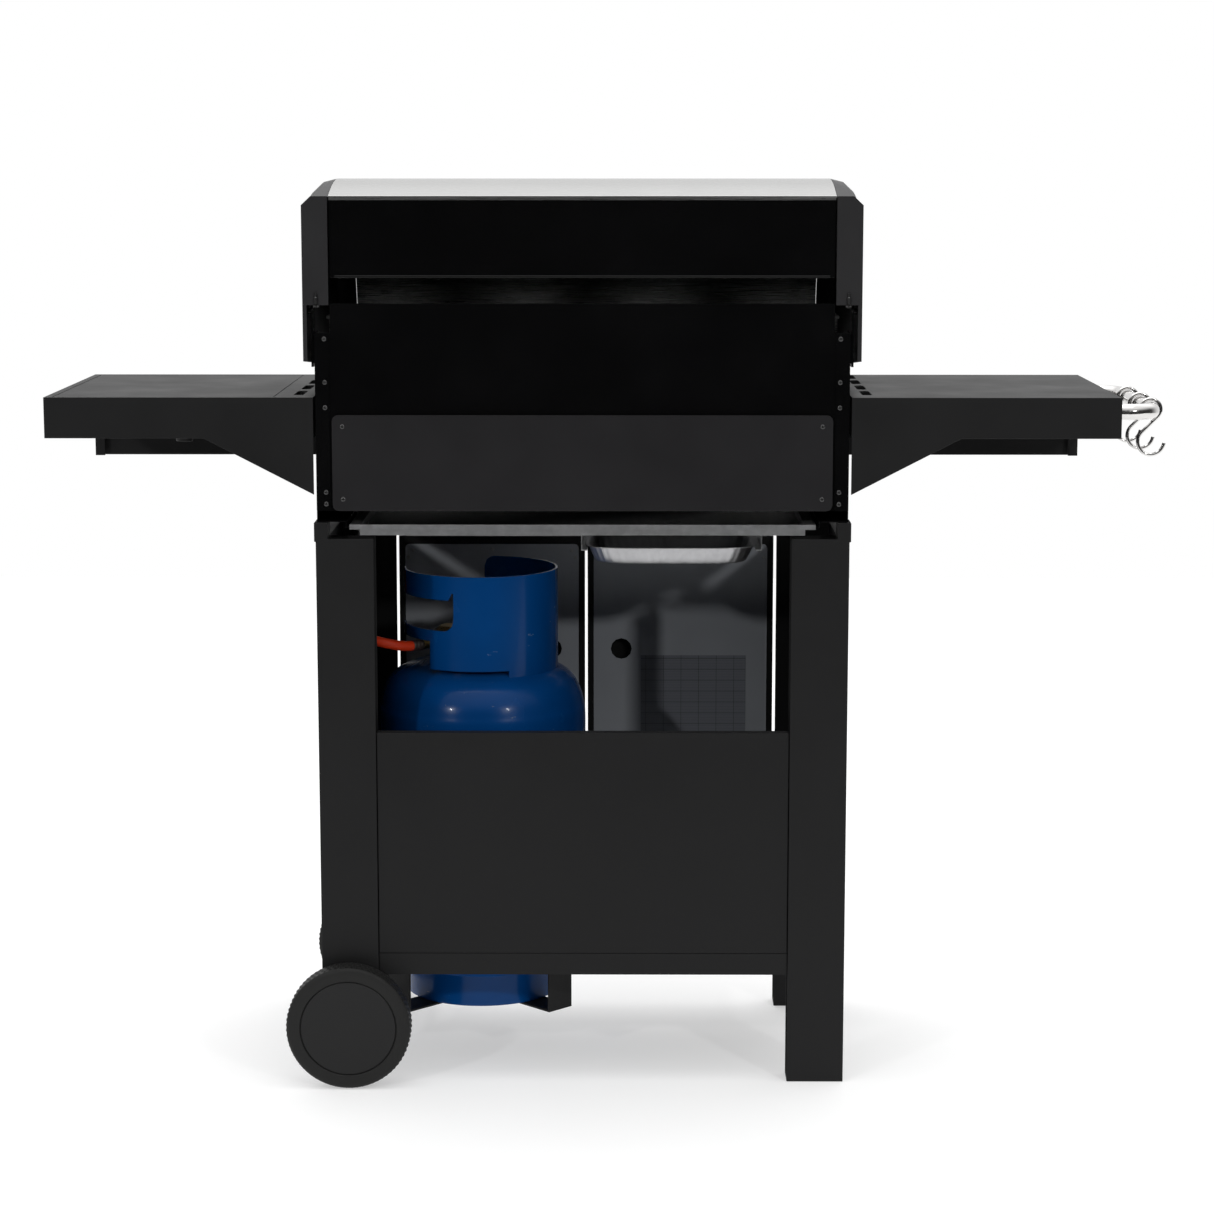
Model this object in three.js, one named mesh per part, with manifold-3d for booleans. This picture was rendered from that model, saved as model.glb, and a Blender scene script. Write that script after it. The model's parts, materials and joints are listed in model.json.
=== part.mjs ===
// Gas barbecue grill on a two-door cart, with a gas bottle standing in its cradle.
// Millimetres, +Z up. The doors and the control panel face -Y, and +X is the right-hand side
// seen from the front. Every size is drawn in the cart's own frame, whose origin lies on the
// floor under the middle of the four legs.
import * as THREE from 'three';
import { mergeVertices } from 'three/addons/utils/BufferGeometryUtils.js';
import Module from 'manifold-3d';

const wasm = await Module();
wasm.setup();

// ---- driving dimensions ---------------------------------------------------------------
const SHEET = 1.5; // folded steel sheet
const GAP = 0.4; // air left where two pieces touch
const RIGHT = 1;
const LEFT = -1;
const REAR = 1;
const FRONT = -1;

const CART_CENTRE = [36.38, 32.25]; // the cart's origin, seen from the middle of the whole grill

const LEG = { outer: 360, face: 78, depth: 40, half: 200, top: 759, stub: 40 };
const LEG_INNER = LEG.outer - LEG.face;
const LEG_BACK = LEG.half - LEG.depth;
const BLOCK = { inner: 344, outer: 362, top: 781 };

const FLOOR = { top: 182, skirt: 30, half: 281, depth: 197, arm: 356, armDepth: 158 };
const AXLE = { x: 322, z: 86, r: 5, half: 229 };
const WHEEL = { r: 86, halfWidth: 18, y: 220, bore: 5.6 };

const DOOR = { inner: 2, outer: 277, bottom: 187, top: 712, front: -200, rear: -182 };
const DOOR_PIVOT = { x: 270, y: -191, pinR: 3, holeR: 3.6 };
const LINER = { border: 9, topBorder: 12, corner: 6, holeX: 52, holeZ: 543, holeR: 15.5 };
const RAIL_BOTTOM = 730;

const BOX = { half: 358, front: -200, rear: 194.5, bottom: 781.4, rim: 948, upright: 1036 };
const BACK_WALL = { bottom: 797, top: 1075, half: 337 };
const COVER_PLATE = { half: 336, bottom: 797, top: 926, corner: 8, rear: 200, depth: 5 };
const GRATE_Z = 930;
const TAMER_Z = 896;
const BURNERS = [-200, 0, 200];
const BURNER = { z: 880, r: 12.5, wall: 1, front: -214, rear: 182 };

const PANEL = { half: 357, front: -262, back: -200.4, bottom: 832, top: 951 };
const MANIFOLD = { y: -236, r: 8, left: -330, right: 339 };
const INLET = { x: 330, r: 6, bend: 16, z: 770, rear: -128, end: 733.4 };
const KNOB = { r: 26, depth: 24, bore: 4, stand: 6 };

const TRAY = { half: 300, lip: 314, bottom: 764, top: 778.5, front: -190, rear: 198 };
const CUP = { x: -121, y: 65, top: [227, 150], base: [208, 132], rim: 739, bottom: 715 };

const SHELF = { inner: 361, outer: 722, top: 950, skirt: 895, front: -192, rear: 200 };
const FASCIA_BOTTOM = 832;
const FASCIA_RETURN = 14;
const GUSSET = { reach: 508, bottom: 819 };
const VENTS = { x: [378, 391], length: 68, y: [126, 34, -58, -150] };
const HOB = { x: [415, 711], y: [-181, 190] };
const HOB_CLEARANCE = 1;
const HOB_CENTRE = [(HOB.x[0] + HOB.x[1]) / 2, (HOB.y[0] + HOB.y[1]) / 2];

const RAIL = { z: 928, r: 11, reach: -773, bend: 35, rear: 165, front: -145, flangeR: 18.5 };
const HOOK = { wire: 2.5, loop: 14.2, lower: 18, shank: 30, slope: 0.78, y: [125, 40, -60] };

const LID = { half: 338, outer: 373, wall: 5, skin: 1.5, bevel: 33, bevelWidth: 35 };
const LID_CREST_Y = 40;
const LID_HINGE = { y: 178, z: 1064, pinR: 4, lugR: 10 };
const HANDLE = { y: -290, z: 1035, r: 12.5, half: 270, posts: 230 };

const BOTTLE = { x: 147, r: 148, ringR: 110, ringBottom: 80.4 };
const COLLAR = { r: 109, sheet: 3, weld: 549, bottom: 560, top: 693, grip: [615.5, 659], hoseTop: 600 };
const HOSE_EXIT = { angle: (40 * Math.PI) / 180, radius: 122, z: 592 };
const BOTTLE_HOLE = 153;
const CRADLE = { radius: 158, width: 44, thick: 3, bottom: 77 };
const HOSE_R = 7;

// Side profile of the lid from its rear top edge over the crest to its front bottom edge.
const lidCurve = new THREE.SplineCurve(
  [[190, 1216.5], [120, 1232], [40, 1238], [-50, 1226], [-140, 1180], [-205, 1105], [-235, 1030], [-247, 962]]
    .map(([y, z]) => new THREE.Vector2(y, z)),
);

// Centre line of the gas hose: out of the regulator, round inside the right side panel, and up to
// the pipe that comes down from the manifold over the front leg.
const hoseCurve = new THREE.CatmullRomCurve3(
  [
    [240.8, 78.7, 592], [244.6, 81.9, 592.3], [257.3, 90.3, 594.4], [275.2, 96.9, 598.8], [294, 97, 603.2],
    [312.4, 90.6, 606.8], [328.4, 78.4, 609.2], [340.2, 61.8, 610.6], [346.2, 42.5, 611.2],
    [346.5, 22.3, 611.4], [342.5, 2.3, 611.8], [336.4, -17.3, 612.8], [330.2, -36.5, 615.4],
    [325.1, -55.4, 620.7], [322.2, -73.5, 629.7], [321.7, -89.9, 641.9], [323.1, -103.8, 656.7],
    [325.4, -114.7, 673.9], [327.7, -122.3, 692.7], [329.4, -126.7, 712.6], [330, -128, 728],
    [330, -128, 733],
  ].map((point) => new THREE.Vector3(...point)),
);

// ---- materials --------------------------------------------------------------------------
function material(color, roughness, metalness) {
  return new THREE.MeshStandardMaterial({ color, roughness, metalness });
}
const powderBlack = material(0x242424, 0.55, 0.1);
const plateBlack = material(0x2a2a2a, 0.5, 0.1);
const enamel = material(0x0b0b0b, 0.15, 0.1);
const capGrey = material(0x2f2f2f, 0.5, 0.2);
const linerGrey = material(0x46494c, 0.6, 0.1);
const stainless = material(0xc9cacb, 0.3, 0.9);
const galvanised = material(0x9ea0a2, 0.45, 0.8);
const foil = material(0xaeb0b2, 0.35, 0.9);
const castIron = material(0x1c1c1c, 0.8, 0.3);
const bottleBlue = material(0x063662, 0.35, 0.1);
const brass = material(0xb08d4a, 0.35, 0.9);
const hoseOrange = material(0xb53010, 0.6, 0);
const wheelBlack = material(0x202020, 0.7, 0);
const knobBlack = material(0x1a1a1a, 0.45, 0);

// ---- shape helpers ----------------------------------------------------------------------
const X = new THREE.Vector3(1, 0, 0);
const Y = new THREE.Vector3(0, 1, 0);
const Z = new THREE.Vector3(0, 0, 1);
const ALONG_X = new THREE.Matrix4().makeBasis(Y, Z, X);
const ALONG_Y = new THREE.Matrix4().makeBasis(X, Z, Y.clone().negate());

/** A closed outline through the given points. */
function polygon(points) {
  return new THREE.Shape(points.map(([a, b]) => new THREE.Vector2(a, b)));
}

/** Points of an arc about (a, b), both ends included. */
function arc(a, b, radius, from, to, steps) {
  return Array.from({ length: steps + 1 }, (_, i) => {
    const angle = from + ((to - from) * i) / steps;
    return [a + radius * Math.cos(angle), b + radius * Math.sin(angle)];
  });
}

/** A rectangle between two pairs of limits, with round corners when radius is given. */
function rectangle([a0, a1], [b0, b1], radius = 0) {
  if (radius === 0) return polygon([[a0, b0], [a1, b0], [a1, b1], [a0, b1]]);
  const centres = [
    [a1 - radius, b0 + radius], [a1 - radius, b1 - radius],
    [a0 + radius, b1 - radius], [a0 + radius, b0 + radius],
  ];
  const quarter = Math.PI / 2;
  return polygon(centres.flatMap(([a, b], i) => arc(a, b, radius, (i - 1) * quarter, i * quarter, 3)));
}

function circle(a, b, radius, sides = 12) {
  return polygon(arc(a, b, radius, 0, 2 * Math.PI, sides).slice(1));
}

function pierced(shape, ...holes) {
  shape.holes.push(...holes);
  return shape;
}

/** The ring left when a rectangle's inside is taken away, leaving one sheet all round. */
function ring([a0, a1], [b0, b1], wall = SHEET) {
  return pierced(
    rectangle([a0, a1], [b0, b1]),
    rectangle([a0 + wall, a1 - wall], [b0 + wall, b1 - wall]),
  );
}

function extrude(shape, depth) {
  return new THREE.ExtrudeGeometry(shape, { depth, bevelEnabled: false, curveSegments: 6 });
}

/** An outline drawn in (y, z), pulled along X. */
function alongX(shape, [x0, x1]) {
  return extrude(shape, x1 - x0).applyMatrix4(ALONG_X).translate(x0, 0, 0);
}

/** An outline drawn in (x, z), pulled along Y. */
function alongY(shape, [y0, y1]) {
  return extrude(shape, y1 - y0).applyMatrix4(ALONG_Y).translate(0, y1, 0);
}

/** An outline drawn in (x, y), pulled along Z. */
function alongZ(shape, [z0, z1]) {
  return extrude(shape, z1 - z0).translate(0, 0, z0);
}

function block([x0, x1], [y0, y1], [z0, z1]) {
  return new THREE.BoxGeometry(x1 - x0, y1 - y0, z1 - z0)
    .translate((x0 + x1) / 2, (y0 + y1) / 2, (z0 + z1) / 2);
}

/** A pair of limits on the given side of the middle, smallest first. */
function mirrored(side, [inner, outer]) {
  return side > 0 ? [inner, outer] : [-outer, -inner];
}

/** A profile of (radius, height) points turned about the Z axis. */
function turned(points, segments = 32) {
  return new THREE.LatheGeometry(points.map(([r, h]) => new THREE.Vector2(r, h)), segments)
    .rotateX(Math.PI / 2);
}

function rod(radius, length, sides = 12) {
  return new THREE.CylinderGeometry(radius, radius, length, sides);
}

/** A round bar along a curve. */
function tube(curve, radius, steps, sides) {
  const section = new THREE.Shape(
    Array.from({ length: sides }, (_, i) => {
      const angle = (2 * Math.PI * i) / sides;
      return new THREE.Vector2(radius * Math.cos(angle), radius * Math.sin(angle));
    }),
  );
  return new THREE.ExtrudeGeometry(section, { steps, extrudePath: curve, bevelEnabled: false });
}

/** Points of a plane curve moved to its right-hand side by a distance. */
function offsetPoints(curve, distance, count) {
  return curve.getPoints(count).map((point, i) => {
    const tangent = curve.getTangent(i / count);
    return [point.x - tangent.y * distance, point.y + tangent.x * distance];
  });
}

// ---- solids from several shapes -----------------------------------------------------------
function toSolid(geometry) {
  const bare = geometry.clone();
  bare.deleteAttribute('normal');
  bare.deleteAttribute('uv');
  const merged = mergeVertices(bare, 1e-3);
  return new wasm.Manifold(new wasm.Mesh({
    numProp: 3,
    vertProperties: Float32Array.from(merged.attributes.position.array),
    triVerts: Uint32Array.from(merged.index.array),
  }));
}

function toGeometry(solid) {
  const mesh = solid.getMesh();
  const geometry = new THREE.BufferGeometry();
  geometry.setAttribute('position', new THREE.BufferAttribute(mesh.vertProperties, 3));
  geometry.setIndex(new THREE.BufferAttribute(mesh.triVerts, 1));
  geometry.computeVertexNormals();
  return geometry;
}

function join(...geometries) {
  return toGeometry(geometries.map(toSolid).reduce((sum, next) => sum.add(next)));
}

function cut(geometry, ...tools) {
  return toGeometry(tools.map(toSolid).reduce((left, tool) => left.subtract(tool), toSolid(geometry)));
}

function common(a, b) {
  return toGeometry(toSolid(a).intersect(toSolid(b)));
}

// ---- scene ----------------------------------------------------------------------------------
const grill = new THREE.Group();
const cart = new THREE.Group();
cart.position.set(...CART_CENTRE, 0);
grill.add(cart);

function add(name, finish, geometry, position = [0, 0, 0], parent = cart) {
  const mesh = new THREE.Mesh(geometry, finish);
  mesh.name = name;
  mesh.position.set(...position);
  parent.add(mesh);
  return mesh;
}

function sideName(side) {
  return side === RIGHT ? 'right' : 'left';
}

// ---- cart frame -----------------------------------------------------------------------------
function legGeometry(side, end) {
  const outline = [
    [LEG.outer, LEG.half], [LEG_INNER, LEG.half], [LEG_INNER, LEG.half - SHEET],
    [LEG.outer - SHEET, LEG.half - SHEET], [LEG.outer - SHEET, LEG_BACK + SHEET],
    [LEG_INNER, LEG_BACK + SHEET], [LEG_INNER, LEG_BACK], [LEG.outer, LEG_BACK],
  ].map(([x, y]) => [side * x, end * y]);
  const bottom = side === RIGHT ? LEG.stub : 0;
  const depth = mirrored(end, [LEG_BACK, LEG.half]);
  const channel = alongZ(polygon(outline), [bottom, LEG.top]);
  const headBlock = block(mirrored(side, [BLOCK.inner, BLOCK.outer]), depth, [LEG.top - 4, BLOCK.top]);
  if (side === LEFT) {
    const foot = block(mirrored(side, [LEG_INNER, LEG.outer]), depth, [0, 3]);
    return join(channel, headBlock, foot);
  }
  const bore = rod(AXLE.r + GAP, 2 * LEG.half + 20).translate(AXLE.x, 0, AXLE.z);
  return cut(join(channel, headBlock), bore);
}

function addCartFrame() {
  for (const side of [LEFT, RIGHT]) {
    for (const [end, word] of [[FRONT, 'front'], [REAR, 'rear']]) {
      add(`leg_${word}_${sideName(side)}`, powderBlack, legGeometry(side, end));
    }
    addSidePanel(side);
  }
  addRearPanel();
  addFloor();
  addFrontRail();
  addCradle();
}

function addSidePanel(side) {
  const [inner, outer, lip] = [357.5, 359, 14];
  const [bottom, top] = [150, LEG.top];
  const outline = [
    [outer, bottom], [outer, top], [outer - lip, top], [outer - lip, top - SHEET],
    [inner, top - SHEET], [inner, bottom + SHEET], [outer - lip, bottom + SHEET], [outer - lip, bottom],
  ].map(([x, z]) => [side * x, z]);
  const half = LEG_BACK - GAP;
  add(`side_panel_${sideName(side)}`, powderBlack, alongY(polygon(outline), [-half, half]));
}

function addRearPanel() {
  const [face, lip, bottom, top] = [197.5, 18, FLOOR.top + 0.6, 492];
  const outline = [
    [face, bottom], [face, top], [face - lip, top], [face - lip, top - SHEET],
    [face - SHEET, top - SHEET], [face - SHEET, bottom + SHEET],
    [face - lip, bottom + SHEET], [face - lip, bottom],
  ];
  add('rear_panel', powderBlack, alongX(polygon(outline), [-FLOOR.half, FLOOR.half]));
}

/** The floor reaches between the legs to both side panels, so its outline is a wide cross. */
function floorOutline(inset) {
  const [wide, deep] = [FLOOR.arm - inset, FLOOR.depth - inset];
  const [half, armDepth] = [FLOOR.half - inset, FLOOR.armDepth - inset];
  return polygon([
    [half, deep], [half, armDepth], [wide, armDepth], [wide, -armDepth], [half, -armDepth],
    [half, -deep], [-half, -deep], [-half, -armDepth], [-wide, -armDepth], [-wide, armDepth],
    [-half, armDepth], [-half, deep],
  ]);
}

function addFloor() {
  const pins = [RIGHT, LEFT].map((side) => circle(side * DOOR_PIVOT.x, DOOR_PIVOT.y, DOOR_PIVOT.holeR));
  const bottleHole = circle(BOTTLE.x, 0, BOTTLE_HOLE, 28);
  const plate = alongZ(pierced(floorOutline(0), bottleHole, ...pins), [FLOOR.top - SHEET, FLOOR.top]);
  const tall = [FLOOR.top - FLOOR.skirt, FLOOR.top - 1];
  const skirt = cut(alongZ(floorOutline(0), tall), alongZ(floorOutline(SHEET), [tall[0] - 1, tall[1] + 1]));
  add('cabinet_floor', powderBlack, join(plate, skirt));
}

function addFrontRail() {
  const [face, back, top] = [-198, -182, LEG.top];
  const outline = [
    [back, RAIL_BOTTOM], [face, RAIL_BOTTOM], [face, top], [back, top], [back, top - SHEET],
    [face + SHEET, top - SHEET], [face + SHEET, RAIL_BOTTOM + SHEET], [back, RAIL_BOTTOM + SHEET],
  ];
  const beam = alongX(polygon(outline), [-FLOOR.half, FLOOR.half]);
  const holes = [RIGHT, LEFT].map((side) => alongZ(
    circle(side * DOOR_PIVOT.x, DOOR_PIVOT.y, DOOR_PIVOT.holeR),
    [RAIL_BOTTOM - 5, RAIL_BOTTOM + 5],
  ));
  add('front_rail', powderBlack, cut(beam, ...holes));
}

/** Two crossed straps under the bottle, turned up at their ends and fixed to the floor. */
function addCradle() {
  const { radius, width, thick, bottom } = CRADLE;
  const half = width / 2;
  const top = FLOOR.top - SHEET - GAP;
  const straps = [0, 1].flatMap((turn) => {
    const flat = block([-radius - thick, radius + thick], [-half, half], [bottom, bottom + thick]);
    const ends = [RIGHT, LEFT].map((side) => (
      block(mirrored(side, [radius, radius + thick]), [-half, half], [bottom, top])
    ));
    return [flat, ...ends].map((piece) => piece.rotateZ(Math.PI / 4 + (turn * Math.PI) / 2));
  });
  add('bottle_cradle', powderBlack, join(...straps), [BOTTLE.x, 0, 0]);
}

// ---- wheels -----------------------------------------------------------------------------------
function wheelGeometry() {
  const { r, halfWidth: w, bore } = WHEEL;
  const [web, hub, rim, disc] = [w - 12, 14, 66, w - 2.4];
  const profile = [
    [bore, -w + 1], [hub, -w + 1], [hub, -web], [rim - 6, -web], [rim, -w + 3], [rim + 5, -w],
    [r - 4, -w], [r, -w + 5], [r, w - 5], [r - 4, w], [rim + 5, w], [rim, w - 3], [rim - 2, disc],
    [0, disc], [0, disc - 5], [bore, disc - 5], [bore, -w + 1],
  ];
  return new THREE.LatheGeometry(profile.map(([a, b]) => new THREE.Vector2(a, b)), 28);
}

function addWheels() {
  add('axle', galvanised, rod(AXLE.r, 2 * AXLE.half), [AXLE.x, 0, AXLE.z]);
  add('wheel_rear', wheelBlack, wheelGeometry(), [AXLE.x, WHEEL.y, AXLE.z]);
  const front = add('wheel_front', wheelBlack, wheelGeometry(), [AXLE.x, -WHEEL.y, AXLE.z]);
  front.rotation.z = Math.PI;
}

// ---- doors ------------------------------------------------------------------------------------
/** A folded door pan with a liner screwed into its back and a pivot pin at each outer corner. */
function doorGeometry(side) {
  const wide = mirrored(side, [DOOR.inner, DOOR.outer]);
  const tall = [DOOR.bottom, DOOR.top];
  const { border, topBorder, corner, holeX, holeZ, holeR } = LINER;
  const face = alongY(rectangle(wide, tall), [DOOR.front, DOOR.front + SHEET]);
  const walls = alongY(ring(wide, tall), [DOOR.front, DOOR.rear]);
  const inside = [[wide[0] + border, wide[1] - border], [tall[0] + border, tall[1] - topBorder]];
  const borderPlate = alongY(
    pierced(rectangle(wide, tall), rectangle(...inside, corner)),
    [DOOR.rear - 1, DOOR.rear],
  );
  const back = [[wide[0] + 1, wide[1] - 1], [tall[0] + 1, tall[1] - 1]];
  const liner = alongY(
    pierced(rectangle(...back), circle(side * holeX, holeZ, holeR)),
    [DOOR.rear - 2.2, DOOR.rear - 1],
  );
  const pin = alongZ(
    circle(side * DOOR_PIVOT.x, DOOR_PIVOT.y, DOOR_PIVOT.pinR),
    [FLOOR.top - SHEET - 3, DOOR.bottom + 2],
  );
  const topPin = alongZ(
    circle(side * DOOR_PIVOT.x, DOOR_PIVOT.y, DOOR_PIVOT.pinR),
    [DOOR.top - 2, RAIL_BOTTOM + 4],
  );
  return join(face, walls, borderPlate, liner, pin, topPin);
}

/** An upright bar on two posts. */
function doorHandleGeometry() {
  const [r, length, stand] = [6, 190, 26];
  const bar = rod(r, length, 12).rotateX(Math.PI / 2).translate(0, -stand, 0);
  const posts = [-1, 1].map((end) => (
    rod(4.5, stand - GAP, 12).translate(0, -(stand + GAP) / 2, end * 70)
  ));
  return join(bar, ...posts);
}

function addDoors() {
  for (const side of [LEFT, RIGHT]) {
    add(`door_${sideName(side)}`, linerGrey, doorGeometry(side));
    add(`door_handle_${sideName(side)}`, stainless, doorHandleGeometry(), [side * 34, DOOR.front, 560]);
  }
}

// ---- firebox --------------------------------------------------------------------------------
function fireboxWalls(side) {
  const { half, front, rear, bottom, rim, upright } = BOX;
  const wall = alongX(
    polygon([
      [front, bottom], [rear, bottom], [rear, upright], [150, upright], [120, 1000], [front, rim],
    ]),
    mirrored(side, [half - SHEET, half]),
  );
  const flange = block(mirrored(side, [339, half]), [rear - SHEET, rear + SHEET], [BACK_WALL.bottom, upright]);
  const lug = alongX(
    polygon([
      [168, 990], [188, 990],
      ...arc(LID_HINGE.y, LID_HINGE.z, LID_HINGE.lugR, 0, Math.PI, 8),
    ]),
    mirrored(side, [360, 363]),
  );
  const boss = block(mirrored(side, [half - SHEET, 361]), [169, 187], [995, 1025]);
  const pinLimits = mirrored(side, [361, LID.outer - LID.wall - GAP]);
  const pin = alongX(circle(LID_HINGE.y, LID_HINGE.z, LID_HINGE.pinR), pinLimits);
  return [wall, flange, lug, boss, pin];
}

/** Ledges on the front and rear walls, one above the other, for grates, tamers and burners. */
function fireboxLedges() {
  const inner = BOX.half - SHEET / 2;
  const levels = [[GRATE_Z, 14], [TAMER_Z, 9]].flatMap(([z, depth]) => [
    block([-inner, inner], [BOX.front + 1, BOX.front + SHEET + depth], [z - SHEET, z]),
    block([-inner, inner], [BOX.rear - SHEET - depth, BOX.rear - 1], [z - SHEET, z]),
  ]);
  const burnerRest = BURNER.z - BURNER.r - 2;
  return [...levels, block([-inner, inner], [170, BOX.rear - 1], [burnerRest - SHEET, burnerRest])];
}

/** The bottom edge is folded in on three sides, and the tray runners hang from it. */
function fireboxBottom() {
  const { half, front, rear, bottom } = BOX;
  const [inner, back] = [half - 40, front + 22];
  const flange = alongZ(
    polygon([
      [-half, front], [half, front], [half, rear], [inner, rear], [inner, back], [-inner, back],
      [-inner, rear], [-half, rear],
    ]),
    [bottom, bottom + SHEET],
  );
  const runners = [LEFT, RIGHT].flatMap((side) => [
    block(mirrored(side, [inner, inner + SHEET]), [-120, rear], [774, bottom + 1]),
    block(mirrored(side, [TRAY.half + 2, inner + 1]), [-120, rear], [774, 774 + SHEET]),
  ]);
  return [flange, ...runners];
}

function addFirebox() {
  const { half, front, rear, bottom, rim, upright } = BOX;
  const frontWall = alongY(
    pierced(
      rectangle([-half, half], [bottom, rim]),
      ...BURNERS.map((x) => circle(x, BURNER.z, BURNER.r + 2)),
    ),
    [front, front + SHEET],
  );
  const backWall = join(
    block([-half, half], [rear - SHEET, rear], [BACK_WALL.bottom, upright]),
    block([-BACK_WALL.half, BACK_WALL.half], [rear - SHEET, rear], [upright - 1, BACK_WALL.top]),
  );
  add('firebox', enamel, join(
    frontWall, backWall, ...fireboxWalls(LEFT), ...fireboxWalls(RIGHT), ...fireboxLedges(), ...fireboxBottom(),
  ));
}

function addRearCover() {
  const { half, bottom, top, corner, rear, depth } = COVER_PLATE;
  const [wide, tall] = [[-half, half], [bottom, top]];
  const inner = [[-half + SHEET, half - SHEET], [bottom + SHEET, top - SHEET]];
  const plate = alongY(rectangle(wide, tall, corner), [rear - SHEET, rear]);
  const edge = alongY(
    pierced(rectangle(wide, tall, corner), rectangle(...inner, corner - SHEET)),
    [rear - depth, rear],
  );
  add('rear_cover', plateBlack, join(plate, edge));
}

/** A grate cast in one piece: a frame with bars from front to rear and one cross bar. */
function grateGeometry(width, depth, bars) {
  const [frame, bar, height] = [9, 7, 11];
  const pitch = (width - 2 * frame + bar) / bars;
  const halves = [[frame, (depth - bar) / 2], [(depth + bar) / 2, depth - frame]];
  const slots = [];
  for (let i = 0; i < bars; i += 1) {
    const x0 = frame + i * pitch;
    slots.push(...halves.map((half) => block([x0, x0 + pitch - bar], half, [-1, height + 1])));
  }
  return cut(block([0, width], [0, depth], [0, height]), ...slots);
}

function addFireboxInside() {
  const burner = new THREE.LatheGeometry([
    [BURNER.r - BURNER.wall, BURNER.front], [BURNER.r, BURNER.front], [BURNER.r, BURNER.rear], [0, BURNER.rear],
    [0, BURNER.rear - 1], [BURNER.r - BURNER.wall, BURNER.rear - 1], [BURNER.r - BURNER.wall, BURNER.front],
  ].map(([r, h]) => new THREE.Vector2(r, h)), 12);
  const [low, high] = [0, 30];
  const tent = alongY(
    polygon([
      [-55, low], [0, high], [55, low], [53.2, low], [0, high - 1.8], [-53.2, low],
    ]),
    [BOX.front + 3, BOX.rear - 3],
  );
  BURNERS.forEach((x, i) => {
    add(`burner_${i + 1}`, galvanised, burner, [x, 0, BURNER.z]);
    add(`flame_tamer_${i + 1}`, galvanised, tent, [x, 0, TAMER_Z + GAP]);
  });
  const grate = grateGeometry(352, 386, 16);
  add('grate_left', castIron, grate, [-353, BOX.front + 4, GRATE_Z + GAP]);
  add('grate_right', castIron, grate, [1, BOX.front + 4, GRATE_Z + GAP]);
  addWarmingRack();
}

/** A rack of wires on two end frames that stand on the firebox's side walls. */
function addWarmingRack() {
  const [half, front, rear, z, wire] = [346, 30, 150, 1052, 4];
  const bays = 20;
  const pitch = (2 * half - wire) / bays;
  const gaps = Array.from({ length: bays }, (_, i) => {
    const x0 = -half + wire + i * pitch;
    return block([x0, x0 + pitch - wire], [front + wire, rear - wire], [z - 1, z + wire + 1]);
  });
  const deck = cut(block([-half, half], [front, rear], [z, z + wire]), ...gaps);
  const ends = [LEFT, RIGHT].flatMap((side) => {
    const x = mirrored(side, [half - wire, half]);
    const foot = mirrored(side, [half - wire, BOX.half]);
    return [
      block(x, [front, front + wire], [1002, z + 1]),
      block(x, [rear - 40, rear - 40 + wire], [1002, z + 1]),
      block(foot, [front, rear - 40 + wire], [1001, 1001 + wire]),
    ];
  });
  add('warming_rack', stainless, join(deck, ...ends));
}

// ---- grease tray and cup -----------------------------------------------------------------------
function addTray() {
  const { half, lip, bottom, top, front, rear } = TRAY;
  const floor = alongZ(
    pierced(rectangle([-half, half], [front, rear]), circle(CUP.x, CUP.y, 15)),
    [bottom, bottom + SHEET],
  );
  const walls = alongZ(ring([-half, half], [front, rear]), [bottom, top]);
  const wings = [LEFT, RIGHT].map((side) => (
    block(mirrored(side, [half - 1, lip]), [front + 70, rear], [top - SHEET, top])
  ));
  const rearLip = block([-lip, lip], [rear - SHEET, rear + 2], [top - 6.5, top]);
  add('drip_tray', galvanised, join(floor, walls, ...wings, rearLip));
}

function addCup() {
  const [outer, lip, top, bottom] = [123.5, 115, TRAY.bottom - GAP, CUP.rim - 2.5];
  const holder = polygon([
    [-outer, bottom], [-lip, bottom], [-lip, bottom + SHEET], [-outer + SHEET, bottom + SHEET],
    [-outer + SHEET, top - SHEET], [outer - SHEET, top - SHEET], [outer - SHEET, bottom + SHEET],
    [lip, bottom + SHEET], [lip, bottom], [outer, bottom], [outer, top], [-outer, top],
  ]);
  const channel = alongY(holder, [-85, 85]);
  const drain = alongZ(circle(0, 0, 16), [top - 10, top + 10]);
  add('cup_holder', powderBlack, cut(channel, drain), [CUP.x, CUP.y, 0]);

  const height = CUP.rim - CUP.bottom;
  const wall = 1;
  const cup = cut(
    taperedBlock(CUP.top, CUP.base, height),
    taperedBlock(CUP.top.map((w) => w - 2 * wall), CUP.base.map((w) => w - 2 * wall), height)
      .translate(0, 0, wall),
  );
  const rim = alongZ(
    pierced(
      rectangle([-119, 119], [-80, 80]),
      rectangle([-112.5, 112.5], [-74, 74]),
    ),
    [height - 1, height + 0.5],
  );
  add('grease_cup', foil, join(cup, rim), [CUP.x, CUP.y, CUP.bottom]);
}

/** A block standing on z = 0 whose base is smaller than its top. */
function taperedBlock([topX, topY], [baseX, baseY], height) {
  const geometry = new THREE.BoxGeometry(topX, topY, height).translate(0, 0, height / 2);
  const position = geometry.attributes.position;
  for (let i = 0; i < position.count; i += 1) {
    if (position.getZ(i) < height / 2) {
      position.setX(i, (position.getX(i) * baseX) / topX);
      position.setY(i, (position.getY(i) * baseY) / topY);
    }
  }
  return geometry;
}

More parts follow.
